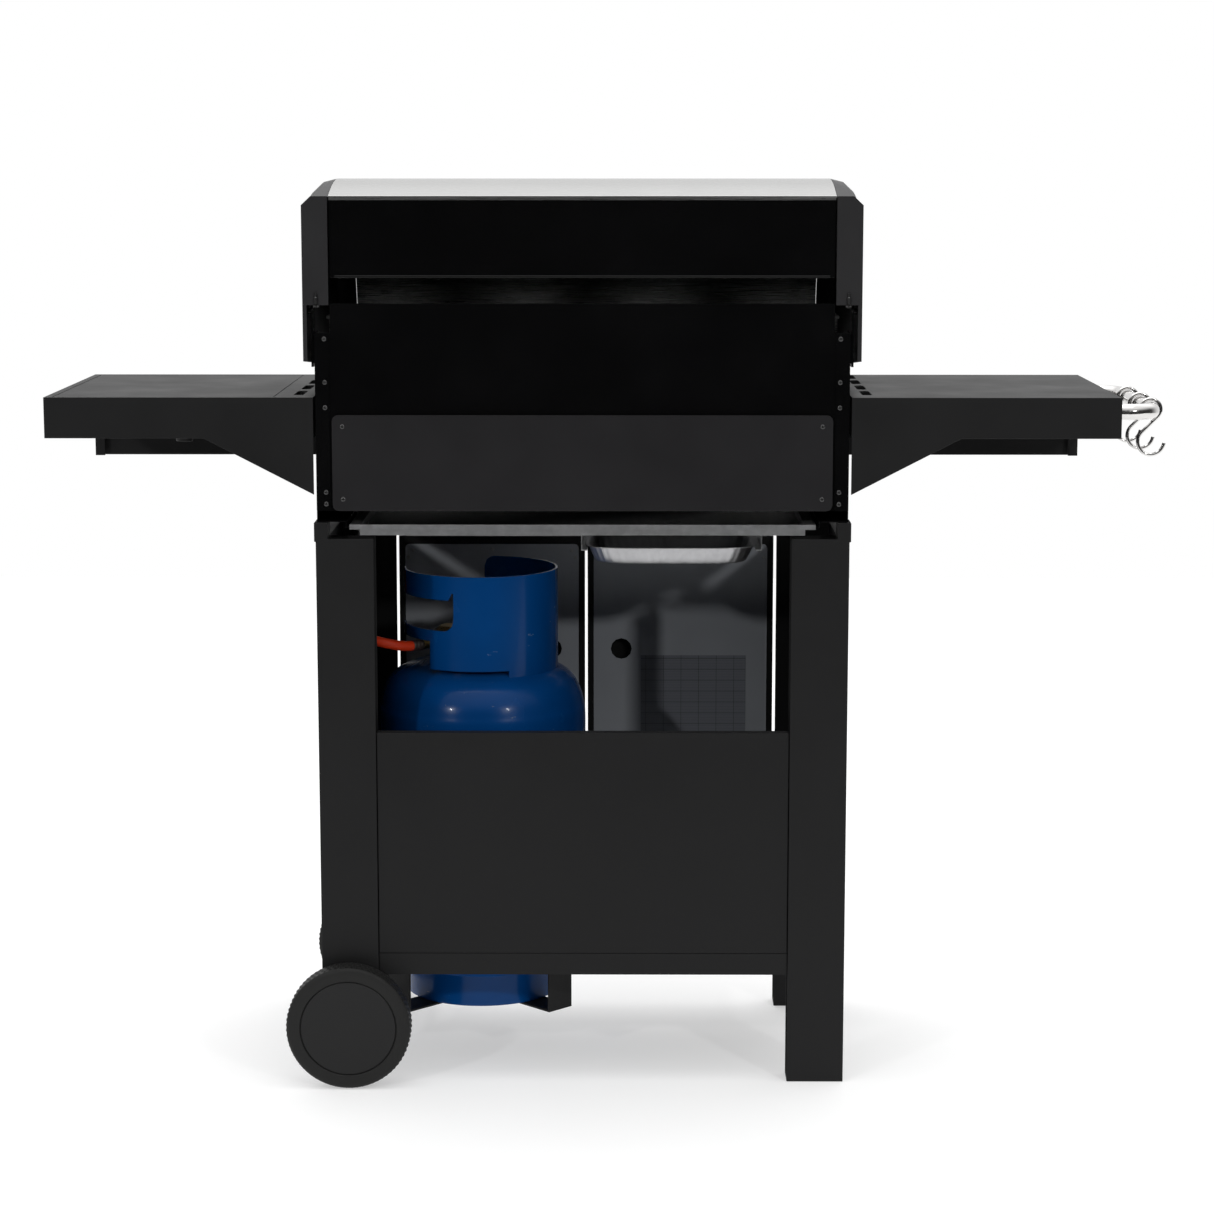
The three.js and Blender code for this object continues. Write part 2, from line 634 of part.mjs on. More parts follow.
// ---- control panel and knobs ---------------------------------------------------------------------
function addControlPanel() {
  const { half, front, back, bottom, top } = PANEL;
  const outline = [
    [back, top], [front, top], [front, bottom], [front + 17, bottom], [front + 17, bottom + SHEET],
    [front + SHEET, bottom + SHEET], [front + SHEET, top - SHEET], [back, top - SHEET],
  ];
  const shell = alongX(polygon(outline), [-half, half]);
  const ends = [LEFT, RIGHT].map((side) => (
    block(mirrored(side, [half - SHEET, half - 0.2]), [front + 0.2, back - 0.2], [bottom + 0.2, top - 0.2])
  ));
  const holes = BURNERS.map((x) => rod(5, 10).translate(x, front, BURNER.z));
  add('control_panel', stainless, cut(join(shell, ...ends), ...holes));
}

function valveGeometry(x, face) {
  const body = block([x - 12, x + 12], [face + 17, face + 43], [BURNER.z - 14, BURNER.z + 14]);
  const jet = rod(3, 16).translate(x, face + 49, BURNER.z);
  return [body, jet];
}

function addManifold() {
  const { y, r, left, right } = MANIFOLD;
  const pipe = rod(r, right - left).rotateZ(Math.PI / 2).translate((left + right) / 2, y, BURNER.z);
  const valves = BURNERS.flatMap((x) => valveGeometry(x, PANEL.front));
  add('gas_manifold', galvanised, join(pipe, ...inletGeometry(), ...valves));
}

/** The pipe down from the manifold, back over the front leg and down to the hose's nut. */
function inletGeometry() {
  const { x, r, bend, z, rear, end } = INLET;
  const { y } = MANIFOLD;
  const at = (py, pz) => new THREE.Vector3(x, py, pz);
  const path = new THREE.CurvePath();
  path.add(new THREE.LineCurve3(at(y, BURNER.z), at(y, z + bend)));
  path.add(new THREE.QuadraticBezierCurve3(at(y, z + bend), at(y, z), at(y + bend, z)));
  path.add(new THREE.LineCurve3(at(y + bend, z), at(rear - bend, z)));
  path.add(new THREE.QuadraticBezierCurve3(at(rear - bend, z), at(rear, z), at(rear, z - bend)));
  path.add(new THREE.LineCurve3(at(rear, z - bend), at(rear, end + 6)));
  const nut = alongZ(circle(x, rear, 10, 6), [end, end + 16]);
  return [tube(path, r, 40, 10), nut];
}

/** A round skirt with a raised grip across it, and a blind bore for the stem. */
function knobGeometry() {
  const { r, depth, bore } = KNOB;
  const skirt = new THREE.LatheGeometry(
    [[0, -9], [r - 2, -9], [r, 0], [0, 0]].map(([a, b]) => new THREE.Vector2(a, b)),
    24,
  );
  const grip = block([-7, 7], [-depth, -8], [-r + 3, r - 3]);
  const drill = rod(bore, 20).translate(0, 16 - depth, 0);
  return cut(join(skirt, grip), drill);
}

function addKnobs() {
  const places = [...BURNERS.map((x) => [x, PANEL.front]), [HOB_CENTRE[0], SHELF.front]];
  places.forEach(([x, face], i) => {
    const start = face + 12;
    const end = face - KNOB.stand - KNOB.depth + 8;
    add(`valve_stem_${i + 1}`, galvanised, rod(3.5, start - end, 12), [x, (start + end) / 2, BURNER.z]);
    add(`knob_${i + 1}`, knobBlack, knobGeometry(), [x, face - KNOB.stand, BURNER.z]);
  });
}

// ---- side shelves -------------------------------------------------------------------------------
function shelfGeometry(side) {
  const { inner, outer, top, skirt, front, rear } = SHELF;
  const wide = mirrored(side, [inner, outer]);
  const through = [top - SHEET - 1, top + 1];
  const vents = VENTS.y.map((y) => alongZ(
    rectangle(mirrored(side, VENTS.x), [y - VENTS.length / 2, y + VENTS.length / 2], 6),
    through,
  ));
  const plate = block(wide, [front, rear], [top - SHEET, top]);
  const skirts = alongZ(ring(wide, [front, rear]), [skirt, top]);
  const fascia = block(wide, [front, front + SHEET], [FASCIA_BOTTOM, skirt + 1]);
  const returnBack = front + FASCIA_RETURN;
  const tall = [FASCIA_BOTTOM, skirt + 1];
  const endWall = block(mirrored(side, [outer - SHEET, outer]), [front, returnBack], tall);
  const endLip = block(mirrored(side, [outer - FASCIA_RETURN, outer]), [returnBack - SHEET, returnBack], tall);
  const gusset = alongY(
    polygon([[inner, skirt + 1], [GUSSET.reach, skirt + 1], [GUSSET.reach, skirt], [inner, GUSSET.bottom]]
      .map(([x, z]) => [side * x, z])),
    [rear - SHEET, rear],
  );
  const shelf = cut(join(plate, skirts, fascia, endWall, endLip, gusset), ...vents);
  if (side === LEFT) return shelf;
  const opening = alongZ(
    rectangle(
      [HOB.x[0] - HOB_CLEARANCE, HOB.x[1] + HOB_CLEARANCE],
      [HOB.y[0] - HOB_CLEARANCE, HOB.y[1] + HOB_CLEARANCE],
    ),
    through,
  );
  return cut(shelf, opening, rod(5, 10).translate(HOB_CENTRE[0], front, BURNER.z));
}

/** A sunken bowl under the shelf opening, with the bars that carry a pan. */
function hobBowlGeometry() {
  const [cx, cy] = HOB_CENTRE;
  const [rimX, rimY] = [[406, 719], [-187, 196.5]];
  const [wellX, wellY] = [[443, 683], [-140, 150]];
  const [flange, bottom, underPlate] = [933.5, 893, SHELF.top - SHEET - GAP];
  const wall = alongZ(ring(rimX, rimY), [flange, underPlate]);
  const deck = alongZ(pierced(rectangle(rimX, rimY), rectangle(wellX, wellY)), [flange, flange + SHEET]);
  const well = alongZ(
    ring([wellX[0] - SHEET, wellX[1] + SHEET], [wellY[0] - SHEET, wellY[1] + SHEET]),
    [bottom, flange + SHEET],
  );
  const base = alongZ(
    pierced(
      rectangle([wellX[0] - 1, wellX[1] + 1], [wellY[0] - 1, wellY[1] + 1]),
      circle(cx, cy, 16),
    ),
    [bottom, bottom + SHEET],
  );
  const bars = [-38, 38].flatMap((shift) => [
    block([wellX[0] - 1, wellX[1] + 1], [cy + shift - 3, cy + shift + 3], [922, 930]),
    block([cx + shift - 3, cx + shift + 3], [wellY[0] - 1, wellY[1] + 1], [922, 930]),
  ]);
  return join(wall, deck, well, base, ...bars);
}

function hobBurnerGeometry() {
  const [cx, cy] = HOB_CENTRE;
  const [body, jet] = valveGeometry(cx, SHELF.front);
  const feed = rod(8, cy - SHELF.front - 40).translate(cx, (cy + SHELF.front + 40) / 2, BURNER.z);
  const riser = alongZ(circle(cx, cy, 12), [BURNER.z - 8, 906]);
  const head = turned([[0, 904], [36, 904], [40, 908], [40, 914], [34, 918], [0, 918]], 24)
    .translate(cx, cy, 0);
  return join(body, jet, feed, riser, head);
}

function addShelves() {
  for (const side of [LEFT, RIGHT]) {
    add(`side_shelf_${sideName(side)}`, powderBlack, shelfGeometry(side));
  }
  add('hob_bowl', powderBlack, hobBowlGeometry());
  add('hob_burner', castIron, hobBurnerGeometry());
  const plate = alongZ(rectangle(HOB.x, HOB.y), [SHELF.top - SHEET, SHELF.top]);
  const turnedDown = alongZ(ring(HOB.x, HOB.y), [SHELF.top - 12, SHELF.top]);
  add('hob_cover', powderBlack, join(plate, turnedDown));
}

// ---- towel rail and hooks ------------------------------------------------------------------------
function addTowelRail() {
  const { z, r, reach, bend, rear, front, flangeR } = RAIL;
  const start = -SHELF.outer - GAP;
  const corner = (y, turn) => new THREE.QuadraticBezierCurve3(
    new THREE.Vector3(turn < 0 ? reach + bend : reach, turn < 0 ? y : y + bend, z),
    new THREE.Vector3(reach, y, z),
    new THREE.Vector3(turn < 0 ? reach : reach + bend, turn < 0 ? y - bend : y, z),
  );
  const path = new THREE.CurvePath();
  const rearCorner = corner(rear, -1);
  const frontCorner = corner(front, 1);
  path.add(new THREE.LineCurve3(new THREE.Vector3(start, rear, z), rearCorner.v0));
  path.add(rearCorner);
  path.add(new THREE.LineCurve3(rearCorner.v2, frontCorner.v0));
  path.add(frontCorner);
  path.add(new THREE.LineCurve3(frontCorner.v2, new THREE.Vector3(start, front, z)));
  const bar = tube(path, r, 32, 12);
  const flanges = [rear, front].map((y) =>
    rod(flangeR, 3, 16).rotateZ(Math.PI / 2).translate(start - 1.5, y, z),
  );
  add('towel_rail', stainless, join(bar, ...flanges));
}

/** An S of wire: a loop over the rail, a straight shank and a loop below, hanging in balance. */
function hookGeometry() {
  const { wire, loop, lower, shank, slope } = HOOK;
  const top = arc(0, 0, loop, -0.4, Math.PI + slope, 9);
  const [x1, z1] = top[top.length - 1];
  const [x2, z2] = [x1 + shank * Math.sin(slope), z1 - shank * Math.cos(slope)];
  const centre = [x2 - lower * Math.cos(slope), z2 - lower * Math.sin(slope)];
  const points = [...top, ...arc(...centre, lower, slope, -Math.PI + 0.1, 9)];
  const curve = new THREE.CatmullRomCurve3(points.map(([x, z]) => new THREE.Vector3(x, 0, z)));
  return tube(curve, wire, 26, 6);
}

function addHooks() {
  HOOK.y.forEach((y, i) => {
    add(`hook_${i + 1}`, stainless, hookGeometry(), [RAIL.reach, y, RAIL.z]);
  });
}

// ---- lid ------------------------------------------------------------------------------------------
/**
 * The solid under the lid's curve, with its outer ends bevelled down to the end wall. Behind the
 * crest the bevel is one plane, so that it runs out toward the rear edge.
 */
function lidBulk(side, outer, bevel) {
  const inside = offsetPoints(lidCurve, LID.bevel, 20);
  const front = inside[inside.length - 1][0];
  const outline = polygon([[280, inside[0][1] - 4], ...inside, [front - 2, 800], [280, 800]]);
  const depth = 60;
  const bulk = new THREE.ExtrudeGeometry(outline, {
    depth,
    bevelSize: bevel,
    bevelThickness: LID.bevelWidth,
    bevelSegments: 3,
  }).applyMatrix4(ALONG_X);
  bulk.translate(side > 0 ? outer - depth - LID.bevelWidth : -outer + LID.bevelWidth, 0, 0);
  const top = offsetPoints(lidCurve, LID.bevel - bevel, 20).filter(([y]) => y > LID_CREST_Y);
  const rear = alongX(
    polygon([[280, top[0][1] + 4], ...top, [LID_CREST_Y, 1150], [280, 1150]]),
    mirrored(side, [outer - 60, outer]),
  );
  const crest = top[top.length - 1][1];
  const chamfer = alongY(
    polygon([
      [outer - 70, 1100], [outer, 1100], [outer, crest - bevel], [outer - LID.bevelWidth, crest],
      [outer - 70, crest + 5],
    ].map(([x, z]) => [side * x, z])),
    [LID_CREST_Y - 1, 285],
  );
  return join(bulk, common(rear, chamfer));
}

function lidCapGeometry(side) {
  const flange = { rear: 197, front: 193, bottom: 1073 };
  const near = LID.half + GAP;
  const keep = alongX(
    polygon([[flange.rear, 998], [flange.rear, 1300], [-300, 1300], [-300, 955.5]]),
    mirrored(side, [near, LID.outer + 1]),
  );
  const hollow = alongX(
    polygon([[flange.front, 900], [flange.front, 1300], [-300, 1300], [-300, 900]]),
    mirrored(side, [near - 20, LID.outer + 1]),
  );
  const shell = cut(
    common(lidBulk(side, LID.outer, LID.bevel), keep),
    common(lidBulk(side, LID.outer - LID.wall, LID.bevel - 3), hollow),
  );
  const wall = LID.outer - LID.wall - GAP;
  const notch = block(
    mirrored(side, [near - 20, wall]),
    [flange.front - 5, flange.rear + 5],
    [900, flange.bottom],
  );
  return cut(shell, notch);
}

function addLid() {
  const outside = offsetPoints(lidCurve, 0, 28);
  const inside = offsetPoints(lidCurve, LID.skin, 28).reverse();
  add('lid_skin', stainless, alongX(polygon([...outside, ...inside]), [-LID.half, LID.half]));
  add('lid_cap_left', capGrey, lidCapGeometry(LEFT));
  add('lid_cap_right', capGrey, lidCapGeometry(RIGHT));

  const [top, bottom, face] = [1214.4, 1109, 192];
  const back = polygon([
    [face, bottom], [face, top], [face - SHEET, top], [face - SHEET, bottom + 4],
    [face - 8, bottom + 4], [face - 8, bottom],
  ]);
  add('lid_rear_panel', enamel, alongX(back, [-LID.half + 1, LID.half - 1]));
  addLidHandle();
  addThermometer();
}

function addLidHandle() {
  const { y, z, r, half, posts } = HANDLE;
  const bar = rod(r, 2 * half, 20).rotateZ(Math.PI / 2);
  const seat = -238.5 - y;
  const arms = [LEFT, RIGHT].map((side) => rod(8, seat, 16).translate(side * posts, seat / 2, 0));
  add('lid_handle', stainless, join(bar, ...arms), [0, y, z]);
}

function addThermometer() {
  const along = 0.66;
  const spot = lidCurve.getPoint(along);
  const tangent = lidCurve.getTangent(along);
  const dial = turned([[0, 0], [27, 0], [31, 3], [31, 10], [28, 12], [0, 12]], 20);
  const stand = 1.2;
  const mesh = add('thermometer', stainless, dial, [0, spot.x + tangent.y * stand, spot.y - tangent.x * stand]);
  mesh.rotation.x = Math.atan2(-tangent.y, -tangent.x);
}

// ---- gas bottle -----------------------------------------------------------------------------------
function bottleGeometry() {
  const { ringR, ringBottom, r } = BOTTLE;
  const outside = [
    [0, 98], [70, 103], [ringR - 3, 121], [ringR - 3, ringBottom], [ringR, ringBottom], [ringR, 122.5],
    [130, 138], [143, 160], [r, 185], [r, 484], [145, 502], [140.5, 519], [131, 535], [120, 546],
    [105.6, 552], [60, 568], [15, 575],
  ];
  const inside = [
    [15, 572], [60, 565], [104, 549], [128, 533], [137.5, 517.5], [145, 484],
    [145, 186], [140, 161.5], [127.5, 140], [106, 124.5], [69, 106], [0, 101],
  ];
  return join(turned([...outside, ...inside], 24), collarGeometry());
}

/**
 * Three quarters of a sheet ring, cut away for a hand and, below that, for the hose. Only its
 * left part meets the shoulder, and a slit runs under the rest.
 */
function collarGeometry() {
  const { r, sheet, weld, bottom, top, grip: [gripBottom, gripTop], hoseTop } = COLLAR;
  const turn = 1.5 * Math.PI;
  const sector = polygon([...arc(0, 0, r, 0, turn, 48), ...arc(0, 0, r - sheet, turn, 0, 48)]);
  const [gripSide, corner, beyond] = [34, 16, 130];
  const hand = polygon([
    [beyond, gripTop], [gripSide + 7, gripTop], [gripSide + 2.5, gripTop + 10], [gripSide, gripTop + 10],
    ...arc(gripSide + corner, gripBottom + corner, corner, Math.PI, 1.5 * Math.PI, 6),
    [beyond, gripBottom],
  ]);
  const [hoseSide, slitEnd] = [68, -43.5];
  const low = polygon([
    [beyond, weld - 5], [slitEnd, weld - 5], [slitEnd, bottom - 4], [slitEnd + 4, bottom],
    [hoseSide, bottom], [hoseSide, hoseTop], [beyond, hoseTop],
  ]);
  const rear = [-5, r + 5];
  return cut(alongZ(sector, [weld, top]), alongY(hand, rear), alongY(low, rear));
}

/** The valve on the bottle's neck, with the regulator beside it and the hose tail pointing out. */
function bottleValveGeometry() {
  const { angle, radius, z } = HOSE_EXIT;
  const stem = turned([
    [0, 575.4], [16, 575.4], [16, 590], [12, 594], [12, 636], [5, 636], [5, 650], [0, 650],
  ], 16);
  const [centre, outletR, tailR] = [50, 9, 6.5];
  const outlet = rod(outletR, centre).rotateZ(Math.PI / 2).translate(centre / 2 + 3, 0, z + 12);
  const regulator = turned([[0, z - 6], [24, z - 6], [29, z], [29, z + 14], [18, z + 22], [0, z + 22]], 20)
    .translate(centre, 0, 0);
  const tail = rod(tailR, radius - centre).rotateZ(Math.PI / 2).translate((centre + radius) / 2, 0, z);
  return join(stem, ...[outlet, regulator, tail].map((piece) => piece.rotateZ(angle)));
}

function addBottle() {
  const bottle = new THREE.Group();
  bottle.position.x = BOTTLE.x;
  cart.add(bottle);
  add('gas_bottle', bottleBlue, bottleGeometry(), [0, 0, 0], bottle);
  add('bottle_valve', brass, bottleValveGeometry(), [0, 0, 0], bottle);
  const wheel = turned([[5 + GAP, 0], [24, 0], [28, 4], [28, 12], [24, 16], [5 + GAP, 16], [5 + GAP, 0]], 20);
  add('bottle_handwheel', knobBlack, wheel, [0, 0, 637], bottle);
  add('gas_hose', hoseOrange, tube(hoseCurve, HOSE_R, 32, 8));
}

addCartFrame();
addWheels();
addDoors();
addFirebox();
addRearCover();
addFireboxInside();
addTray();
addCup();
addControlPanel();
addManifold();
addKnobs();
addShelves();
addTowelRail();
addHooks();
addLid();
addBottle();

export default grill;
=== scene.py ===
# %% [markdown]
# # A gas barbecue on its cart, seen from behind
# The real thing is folded sheet steel, a stainless lid with painted ends, and a blue gas bottle.
# It could be modelled by hand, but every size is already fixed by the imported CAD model, so this
# lesson starts from that frame and builds each visible surface round it as a formula.
# %% Load the fixed frame
import json
import math

import bmesh
import bpy
import numpy as np
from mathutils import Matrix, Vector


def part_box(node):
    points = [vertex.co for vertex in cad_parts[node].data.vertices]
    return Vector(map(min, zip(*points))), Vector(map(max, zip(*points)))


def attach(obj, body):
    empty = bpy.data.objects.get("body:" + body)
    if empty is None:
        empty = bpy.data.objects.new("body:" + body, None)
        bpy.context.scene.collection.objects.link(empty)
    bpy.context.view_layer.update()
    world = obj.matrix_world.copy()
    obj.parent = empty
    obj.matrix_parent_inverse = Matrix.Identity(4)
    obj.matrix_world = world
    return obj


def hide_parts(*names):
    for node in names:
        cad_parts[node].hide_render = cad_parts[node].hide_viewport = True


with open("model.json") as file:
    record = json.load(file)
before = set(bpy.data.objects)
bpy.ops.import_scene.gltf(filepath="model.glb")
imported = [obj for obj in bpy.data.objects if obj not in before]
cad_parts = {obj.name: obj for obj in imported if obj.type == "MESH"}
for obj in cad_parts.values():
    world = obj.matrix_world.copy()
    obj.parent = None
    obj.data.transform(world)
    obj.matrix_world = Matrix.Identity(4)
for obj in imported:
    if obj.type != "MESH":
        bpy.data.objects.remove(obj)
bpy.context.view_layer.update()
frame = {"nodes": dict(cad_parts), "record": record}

BODY_OF = {n: body for body, names in frame["record"]["behaviour"]["bodies"].items() for n in names}

# %% [markdown]
# ## Where things are
# The cart is drawn about the floor point under the middle of its four legs. Reading that point
# from the legs' own boxes keeps every later number in plain millimetres of the cart.
# %% The cart's origin
leg_low = np.min([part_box(n)[0] for n in frame["nodes"] if n.startswith("leg_")], axis=0)
leg_high = np.max([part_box(n)[1] for n in frame["nodes"] if n.startswith("leg_")], axis=0)
ORIGIN = np.array([*((leg_low + leg_high) / 2)[:2], 0.0])
MM = 0.001


def cart(points):
    """Cart millimetres to metres of the frame: p / 1000 + origin."""
    return np.asarray(points, float) * MM + ORIGIN


print("cart origin", np.round(ORIGIN, 4))

# %% [markdown]
# ## Camera first
# The view is from behind, a little above the lid, with a long lens, so that the uprights stay
# nearly parallel. It comes first because a free hose is judged by what the camera can see.
# %% Camera
CAMERA_PLACE = cart((-57.0, 4114.05, 1290))
CAMERA_TILT = math.radians(90 - 9.05)
CAMERA_TURN = math.radians(180 + 0.35)
camera_data = bpy.data.cameras.new("camera")
camera_data.lens = 86.9
camera_data.sensor_width = 36.0
camera = bpy.data.objects.new("camera", camera_data)
camera.location = CAMERA_PLACE
camera.rotation_euler = (CAMERA_TILT, 0.0, CAMERA_TURN)
bpy.context.scene.collection.objects.link(camera)
bpy.context.scene.camera = camera
print("camera", camera_data.lens, "mm")

# %% [markdown]
# ## Grids and profiles
# Almost every piece here is either a profile turned about an axis or an outline carried along a
# path. Both are the same thing: a grid of points whose neighbours are joined by quads. Writing
# that once keeps each piece down to its own formula.
# %% Grid helpers


def grid_faces(rows, columns, wrap_rows=False, wrap_columns=False):
    """Quads between neighbours; a wrapped direction joins its last line to its first."""
    down = np.arange(rows - (not wrap_rows))
    across = np.arange(columns - (not wrap_columns))
    i, j = np.meshgrid(down, across, indexing="ij")
    a, b = (i + 1) % rows, (j + 1) % columns
    corners = [i * columns + j, a * columns + j, a * columns + b, i * columns + b]
    return np.stack(corners, -1).reshape(-1, 4)


def joined(*parts):
    """Several (points, faces) parts as one, each part's indices moved past those before it."""
    starts = np.cumsum([0] + [len(p) for p, _ in parts[:-1]])
    points = np.concatenate([np.asarray(p, float).reshape(-1, 3) for p, _ in parts])
    faces = [[int(k + s) for k in f] for (_, fs), s in zip(parts, starts) for f in fs]
    return points, faces


AXES = {
    "z": ((1, 0, 0), (0, 1, 0), (0, 0, 1)),
    "y": ((1, 0, 0), (0, 0, -1), (0, 1, 0)),
    "x": ((0, 1, 0), (0, 0, 1), (1, 0, 0)),
}


def turned(profile, centre=(0, 0, 0), axis="z", sides=48, frame3=None, closed=False):
    """A profile of (radius, height) turned about an axis: (r cos t, r sin t, h)."""
    r, h = np.asarray(profile, float).T
    t = np.linspace(0, 2 * np.pi, sides, endpoint=False)[:, None]
    local = np.stack([r * np.cos(t), r * np.sin(t), h + 0 * t], -1)
    turn = np.asarray(AXES[axis] if frame3 is None else frame3, float)
    points = local @ turn + np.asarray(centre, float)
    return points.reshape(-1, 3), grid_faces(sides, len(r), True, closed)


def swept(path, outline, reference=(0, 0, 1)):
    """An outline (a, b) along a path, closed at both ends: path + a * side + b * up."""
    path = np.asarray(path, float)
    a, b = np.asarray(outline, float).T
    tangent = np.gradient(path, axis=0)
    tangent /= np.linalg.norm(tangent, axis=1, keepdims=True)
    side = np.cross(tangent, reference)
    side /= np.linalg.norm(side, axis=1, keepdims=True)
    up = np.cross(side, tangent)
    points = path[:, None] + a[:, None] * side[:, None] + b[:, None] * up[:, None]
    end = np.arange(len(a))
    faces = [*grid_faces(len(path), len(a), False, True), end, end + len(a) * (len(path) - 1)]
    return points.reshape(-1, 3), faces


def ring(radius, sides):
    """Points of a circle, (r cos t, r sin t)."""
    t = np.linspace(0, 2 * np.pi, sides, endpoint=False)
    return radius * np.stack([np.cos(t), np.sin(t)], -1)


def arc(centre, radius, start, end, count):
    """Points (a, b) of an arc in degrees, both ends included."""
    t = np.radians(np.linspace(start, end, count))
    return np.stack([centre[0] + radius * np.cos(t), centre[1] + radius * np.sin(t)], -1)


def spline(points, u):
    """Uniform Catmull-Rom through points, u from 0 to 1: cubic in each span, ends doubled."""
    p = np.asarray(points, float)
    n = len(p) - 1
    i = np.minimum((u * n).astype(int), n - 1)
    w = (u * n - i)[:, None]
    p0, p1, p2, p3 = p[np.maximum(i - 1, 0)], p[i], p[i + 1], p[np.minimum(i + 2, n)]
    v0, v1 = (p2 - p0) / 2, (p3 - p1) / 2
    return (2 * p1 - 2 * p2 + v0 + v1) * w**3 + (3 * p2 - 3 * p1 - 2 * v0 - v1) * w**2 + v0 * w + p1


print("a 4 x 4 grid has", len(grid_faces(4, 4)), "quads")

# %% [markdown]
# ## From points to a piece
# A piece is a mesh whose doubles are merged and whose faces point outward. Sheet metal has tiny
# round edges that catch the light, so a Bevel modifier may finish it. CAD copies need the same
# care: their loose triangles are merged and the flat ones dissolved before the edges are rounded.
# %% Piece helpers
SMOOTH = math.radians(32)
FLAT = math.radians(0.6)


def finish_mesh(mesh, flat=None):
    """Merge doubles, dissolve flat triangles when asked, and turn the faces outward."""
    bm = bmesh.new()
    bm.from_mesh(mesh)
    bmesh.ops.remove_doubles(bm, verts=bm.verts, dist=1e-6)
    bmesh.ops.dissolve_degenerate(bm, edges=bm.edges, dist=1e-7)
    if flat:
        bmesh.ops.dissolve_limit(bm, angle_limit=flat, verts=bm.verts, edges=bm.edges)
    bmesh.ops.recalc_face_normals(bm, faces=bm.faces)
    bm.to_mesh(mesh)
    bm.free()
    mesh.shade_smooth()
    mesh.set_sharp_from_angle(angle=SMOOTH)


def rounded(obj, width):
    """Rounds every edge sharper than the smoothing angle."""
    bevel = obj.modifiers.new("round edges", "BEVEL")
    bevel.width, bevel.segments = width * MM, 2
    bevel.limit_method, bevel.angle_limit = "ANGLE", SMOOTH
    bevel.harden_normals = True


def piece(name, part, finish, body="cart", stands_for=(), bevel=0.0, wall=0.0):
    """A new object from (points, faces) in cart millimetres, riding on a body."""
    points, faces = part
    mesh = bpy.data.meshes.new(name)
    mesh.from_pydata(cart(points).tolist(), [], [[int(k) for k in f] for f in faces])
    finish_mesh(mesh)
    obj = bpy.data.objects.new(name, mesh)
    bpy.context.scene.collection.objects.link(obj)
    mesh.materials.append(finish[0])
    if wall:
        solid = obj.modifiers.new("wall", "SOLIDIFY")
        solid.thickness, solid.offset = wall * MM, -1
    if bevel:
        rounded(obj, bevel)
    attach(obj, body)
    if stands_for:
        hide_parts(*stands_for)
    return obj


def crisp(node, finish, bevel=0.5):
    """A merged copy of a CAD node with rounded edges, standing for that node."""
    mesh = frame["nodes"][node].data.copy()
    mesh.materials.clear()
    mesh.materials.append(finish[0])
    finish_mesh(mesh, FLAT)
    obj = bpy.data.objects.new(node + "_look", mesh)
    bpy.context.scene.collection.objects.link(obj)
    if bevel:
        rounded(obj, bevel)
    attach(obj, BODY_OF[node])
    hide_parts(node)
    return obj


print("edges sharper than", round(math.degrees(SMOOTH)), "degrees stay crisp")

# %% [markdown]
# ## Finishes
# Powder coat, enamel, brushed steel and rubber differ in three things: how the colour drifts over
# a hand's width, how even the gloss is, and how fine the relief is. One helper wires those three
# for every finish, on Object coordinates so that the pattern stays put on each piece.
# %% The finish helper


def node_of(tree, kind, **values):
    """A shader node with its properties and input values set by name."""
    node = tree.nodes.new(kind)
    for key, value in values.items():
        if hasattr(node, key):
            setattr(node, key, value)
        else:
            node.inputs[key.replace("_", " ")].default_value = value
    return node


def surface(name, slot, colour, rough, metal=0.0, drift=0.12, drift_size=90, uneven=0.05,
            grain=1.0, relief=0.03, stretch=(1, 1, 1), coat=0.0, coat_rough=0.1, shine=0.5):
    """A Principled finish: noise drifts the colour and the gloss, and finer noise is the relief."""
    material = bpy.data.materials.new(name)
    material.use_nodes = True
    tree = material.node_tree
    link = tree.links.new
    shader = tree.nodes["Principled BSDF"]
    shader.inputs["Metallic"].default_value = metal
    shader.inputs["Specular IOR Level"].default_value = shine
    shader.inputs["Coat Weight"].default_value = coat
    shader.inputs["Coat Roughness"].default_value = coat_rough
    place = node_of(tree, "ShaderNodeTexCoord").outputs["Object"]
    mapping = node_of(tree, "ShaderNodeMapping")
    mapping.inputs["Scale"].default_value = stretch
    link(place, mapping.inputs["Vector"])
    cloud = node_of(tree, "ShaderNodeTexNoise", Scale=1000 / drift_size, Detail=4.0)
    fine = node_of(tree, "ShaderNodeTexNoise", Scale=1000 / grain, Detail=3.0)
    link(place, cloud.inputs["Vector"])
    link(mapping.outputs["Vector"], fine.inputs["Vector"])
    blend = node_of(tree, "ShaderNodeMix", data_type="RGBA")
    low = [c * (1 - drift) for c in colour]
    high = [c * (1 + drift) for c in colour]
    blend.inputs[6].default_value = (*low, 1)
    blend.inputs[7].default_value = (*high, 1)
    link(cloud.outputs["Fac"], blend.inputs[0])
    link(blend.outputs[2], shader.inputs["Base Color"])
    gloss = node_of(tree, "ShaderNodeMapRange", From_Min=0.3, From_Max=0.7)
    gloss.inputs["To Min"].default_value = rough - uneven
    gloss.inputs["To Max"].default_value = rough + uneven
    link((fine if metal > 0.5 else cloud).outputs["Fac"], gloss.inputs["Value"])
    link(gloss.outputs[0], shader.inputs["Roughness"])
    bump = node_of(tree, "ShaderNodeBump", Strength=0.6)
    bump.inputs["Distance"].default_value = relief * MM
    link(fine.outputs["Fac"], bump.inputs["Height"])
    link(bump.outputs["Normal"], shader.inputs["Normal"])
    return material, slot


